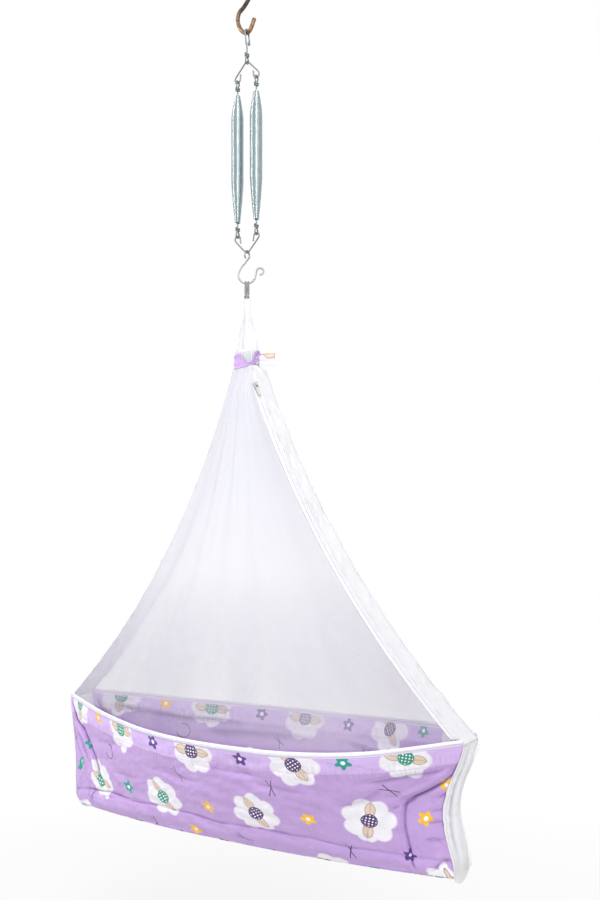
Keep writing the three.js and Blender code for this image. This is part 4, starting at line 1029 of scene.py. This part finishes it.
# The cover fills out under a little pressure, at most 3 mm a point. In places that takes its
# underside up to 1.3 mm through the floor cloth, which shows only from below.
most_moved, last_frame = 3.0 * MM, 20
bpy.context.view_layer.objects.active = pad
swelling = pad.modifiers.new("even_mesh", "REMESH")
swelling.mode, swelling.voxel_size, swelling.use_smooth_shade = "VOXEL", 0.006, True
bpy.ops.object.modifier_apply(modifier="even_mesh")
before = np.empty(len(pad.data.vertices) * 3, np.float32)
pad.data.vertices.foreach_get("co", before)
cover = pad.modifiers.new("cover", "CLOTH")
cover.settings.use_pressure = True
cover.settings.uniform_pressure_force = 4
cover.settings.effector_weights.gravity = 0
cover.point_cache.frame_start, cover.point_cache.frame_end = 1, last_frame
for step in range(1, last_frame + 1):
    bpy.context.scene.frame_set(step)
bpy.context.view_layer.update()
moved = np.empty(len(before), np.float32)
settled = pad.evaluated_get(bpy.context.evaluated_depsgraph_get())
settled.data.vertices.foreach_get("co", moved)
pad.modifiers.remove(cover)
bpy.context.scene.frame_set(1)
shift = (moved - before).reshape(-1, 3)
far = np.linalg.norm(shift, axis=1)[:, None]
shift *= np.minimum(1, most_moved / np.maximum(far, 1e-9))
pad.data.vertices.foreach_set("co", (before.reshape(-1, 3) + shift).ravel())
finer = pad.modifiers.new("finer", "SUBSURF")
finer.levels = finer.render_levels = 1
bpy.ops.object.modifier_apply(modifier="finer")
dress(pad, pad_white, "cradle", "pad_cloth", "base_pad")

# Rim: the zip's tape runs between the front net and the front wall, and a plain binding of the
# same tape closes the back. Tape is a tight herringbone. Its lower half is painted faintly lilac,
# as light reflected from the print beside it, and a painted shadow line runs along the coil.
zip_tape, tree, shader = blank("woven_zip_tape")
flat, split = laid_flat()
hue = over("#F7F6FA", span(split["Y"], 0.0050, 0.0058), "#E9DFF5")
hue = over(hue, count("COMPARE", split["Y"], 0.0047, 0.0007), "#BDB6CB")
fill(shader, {"Roughness": 0.7, "Base Color": hue,
              "Normal": relief(ribs(flat, 0.0022, "DIAGONAL", {"Distortion": 0.4}), 0.3, 0.0004)})
place = np.linspace(-1, 1, 420)[None]
v = np.linspace(0, 1, 9)[:, None]
for (front, wall), name, node in zip(front_and_back, ("zip_tape_rim", "back_binding"),
                                     ("zip_rim_tape", "back_rim_binding")):
    line = rim_line(front, place[0])[None]
    waver = 0.5 * np.sin(line[..., 0] / 17 + 1.5 * np.sin(line[..., 0] / 60)) * (1 - place ** 2)
    out = (-1 if front else 1) * (0.65 + waver * hump(v))
    tape = cloth(name, stacked(line[..., 0], line[..., 1] + out,
                               line[..., 2] + seam_gap + tape_height * (1 - v)), 0.9)
    dress(tape, zip_tape, "cradle", "zip_tape", node)

# Placket: a strip of the white cotton, sewn along the front edge of the right band. It carries the
# zip's upright stretch and stands a little away from the net.
placket_out = np.array([0.611, -0.678, 0.409])
fall = np.concatenate([np.linspace(0.0, 0.05, 8), np.linspace(0.055, 1, 130)]) * net_fall
u = np.linspace(0, 1, 9)[None]
strip = band_edge(1, -1, fall)[:, None] + placket_across * (u * placket_reach(fall)[:, None])[..., None]
uneven = 0.35 * rumpled(u * placket_width, fall[:, None] * band_length, 61, 60)
strip = strip + placket_out * (0.8 + uneven)[..., None]
placket = cloth("zip_placket_strip", strip, 1.0, aside=placket_width * u)
dress(placket, white_cotton, "cradle", "white_cloth", "zip_placket")

# Zip coil: polyester monofilament wound into a coil, 1.6 mm a turn, around a thin cord. It is sewn
# along the rim's tape and up the placket.
coil_plastic, tree, shader = blank("white_polyester_coil")
tint = noise(put("TexCoord")["Object"], 900, 2)
fill(shader, {"Roughness": 0.38, "Base Color": over("#DAD8E2", tint, "#EEEDF3")})


def wound(path, radius, pitch):
    """A coil of thin line around a path in millimetres."""
    steps = along_curve(path, pitch / 8)
    forward = unit(np.gradient(steps, axis=0))
    first = unit(np.cross(forward, (0.1, -0.9, 0.43)))
    second = np.cross(forward, first)
    angle = (2 * np.pi * np.arange(len(steps)) / 8)[:, None]
    return steps + radius * (first * np.cos(angle) + second * np.sin(angle))


rim_path = rim_line(True, np.linspace(-1, 1, 60)) + (0, -4.35, 0.3 + tape_height / 2)
side_path = (band_edge(1, -1, np.linspace(0.03, net_fall, 60)) + placket_across * 7.7
             + placket_out * 3.2)
coil_turn_radius, coil_turn, line_radius, cord_radius = 0.95, 1.6, 0.34, 0.62
for where, path in (("rim", rim_path), ("side", side_path)):
    line = bent_wire(f"zip_coil_{where}", wound(path, coil_turn_radius, coil_turn), line_radius, sides=5)
    dress(line, coil_plastic, "cradle", "zip_coil", f"zip_{where}_coil")
    cord = bent_wire(f"zip_cord_{where}", along_curve(path, 4), cord_radius, sides=8)
    dress(cord, coil_plastic, "cradle", "zip_coil")

# Slider and pull: small zinc castings with nickel plate. The slider grips both rows of the coil,
# and it is parked at the top of the zip with its pull hanging down.
for name in ("zip_slider", "zip_pull"):
    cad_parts[name].data.materials.clear()
    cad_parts[name].data.materials.append(nickel_plate)

# Tie: a strip of the print wound round the neck, slack enough to dip at the front, with its end
# folded out to the right.
v = np.linspace(0, 1, 22)[:, None]
turn = np.linspace(0, 2 * np.pi, 121)[None]
square = 1 / (np.abs(np.cos(turn)) ** 5 + np.abs(np.sin(turn)) ** 5) ** 0.2
to_front = np.abs((turn - math.radians(305) + np.pi) % (2 * np.pi) - np.pi) / math.radians(58)
low = -765.5 + 6 * np.cos(turn) - 4 * np.clip(np.cos(turn + math.radians(60)), 0, 1)
high = low + 25 - 18.5 * (0.5 + 0.5 * np.cos(np.pi * np.clip(to_front, 0, 1)))
high = high + 4 * bell(turn, math.radians(255), 0.3)
wrinkle = 0.9 * np.sin(v * 11 + 1.3 * np.sin(turn * 2)) + 0.5 * np.sin(turn * 13 + v * 4)
grow = 1.1 + 0.6 * wrinkle
tie_z = mix(high, low, v)
flare = opened(tie_z)
tie_points = stacked((20.0 + grow + flare * 1.5) * square * np.cos(turn),
                     (15.1 + grow + flare * 5.8) * square * np.sin(turn), tie_z)
tie = cloth("neck_tie_strip", tie_points, 1.0, aside=20, shift=(-15, 86))
dress(tie, printed_cotton, "cradle", "print_cloth", "neck_tie")
u = np.linspace(0, 1, 40)[None]
tail_length, tail_root, tail_width, tail_z = 33, 23.0, mix(17.5, 25, u), -750.3
fold = 2.0 * np.sin(2 * np.pi * u) + 1.6 * np.sin(2 * np.pi * (v * 1.5 + 0.4 * u))
tail_points = stacked(tail_root + 0.85 * tail_length * u, 0.53 * tail_length * u + 1.1 + fold,
                      tail_z + (0.5 - v) * tail_width - 3 * u - 1.5 * np.sin(3 * u) * v)
tail = cloth("neck_tie_end", tail_points, 1.0, aside=20, shift=(-15, 7))
dress(tail, printed_cotton, "cradle", "print_cloth", "neck_tie_tail")

size = {"cad": [list(map(float, corner)) for corner in cad_box],
        "visual": [list(map(float, corner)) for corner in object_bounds()]}
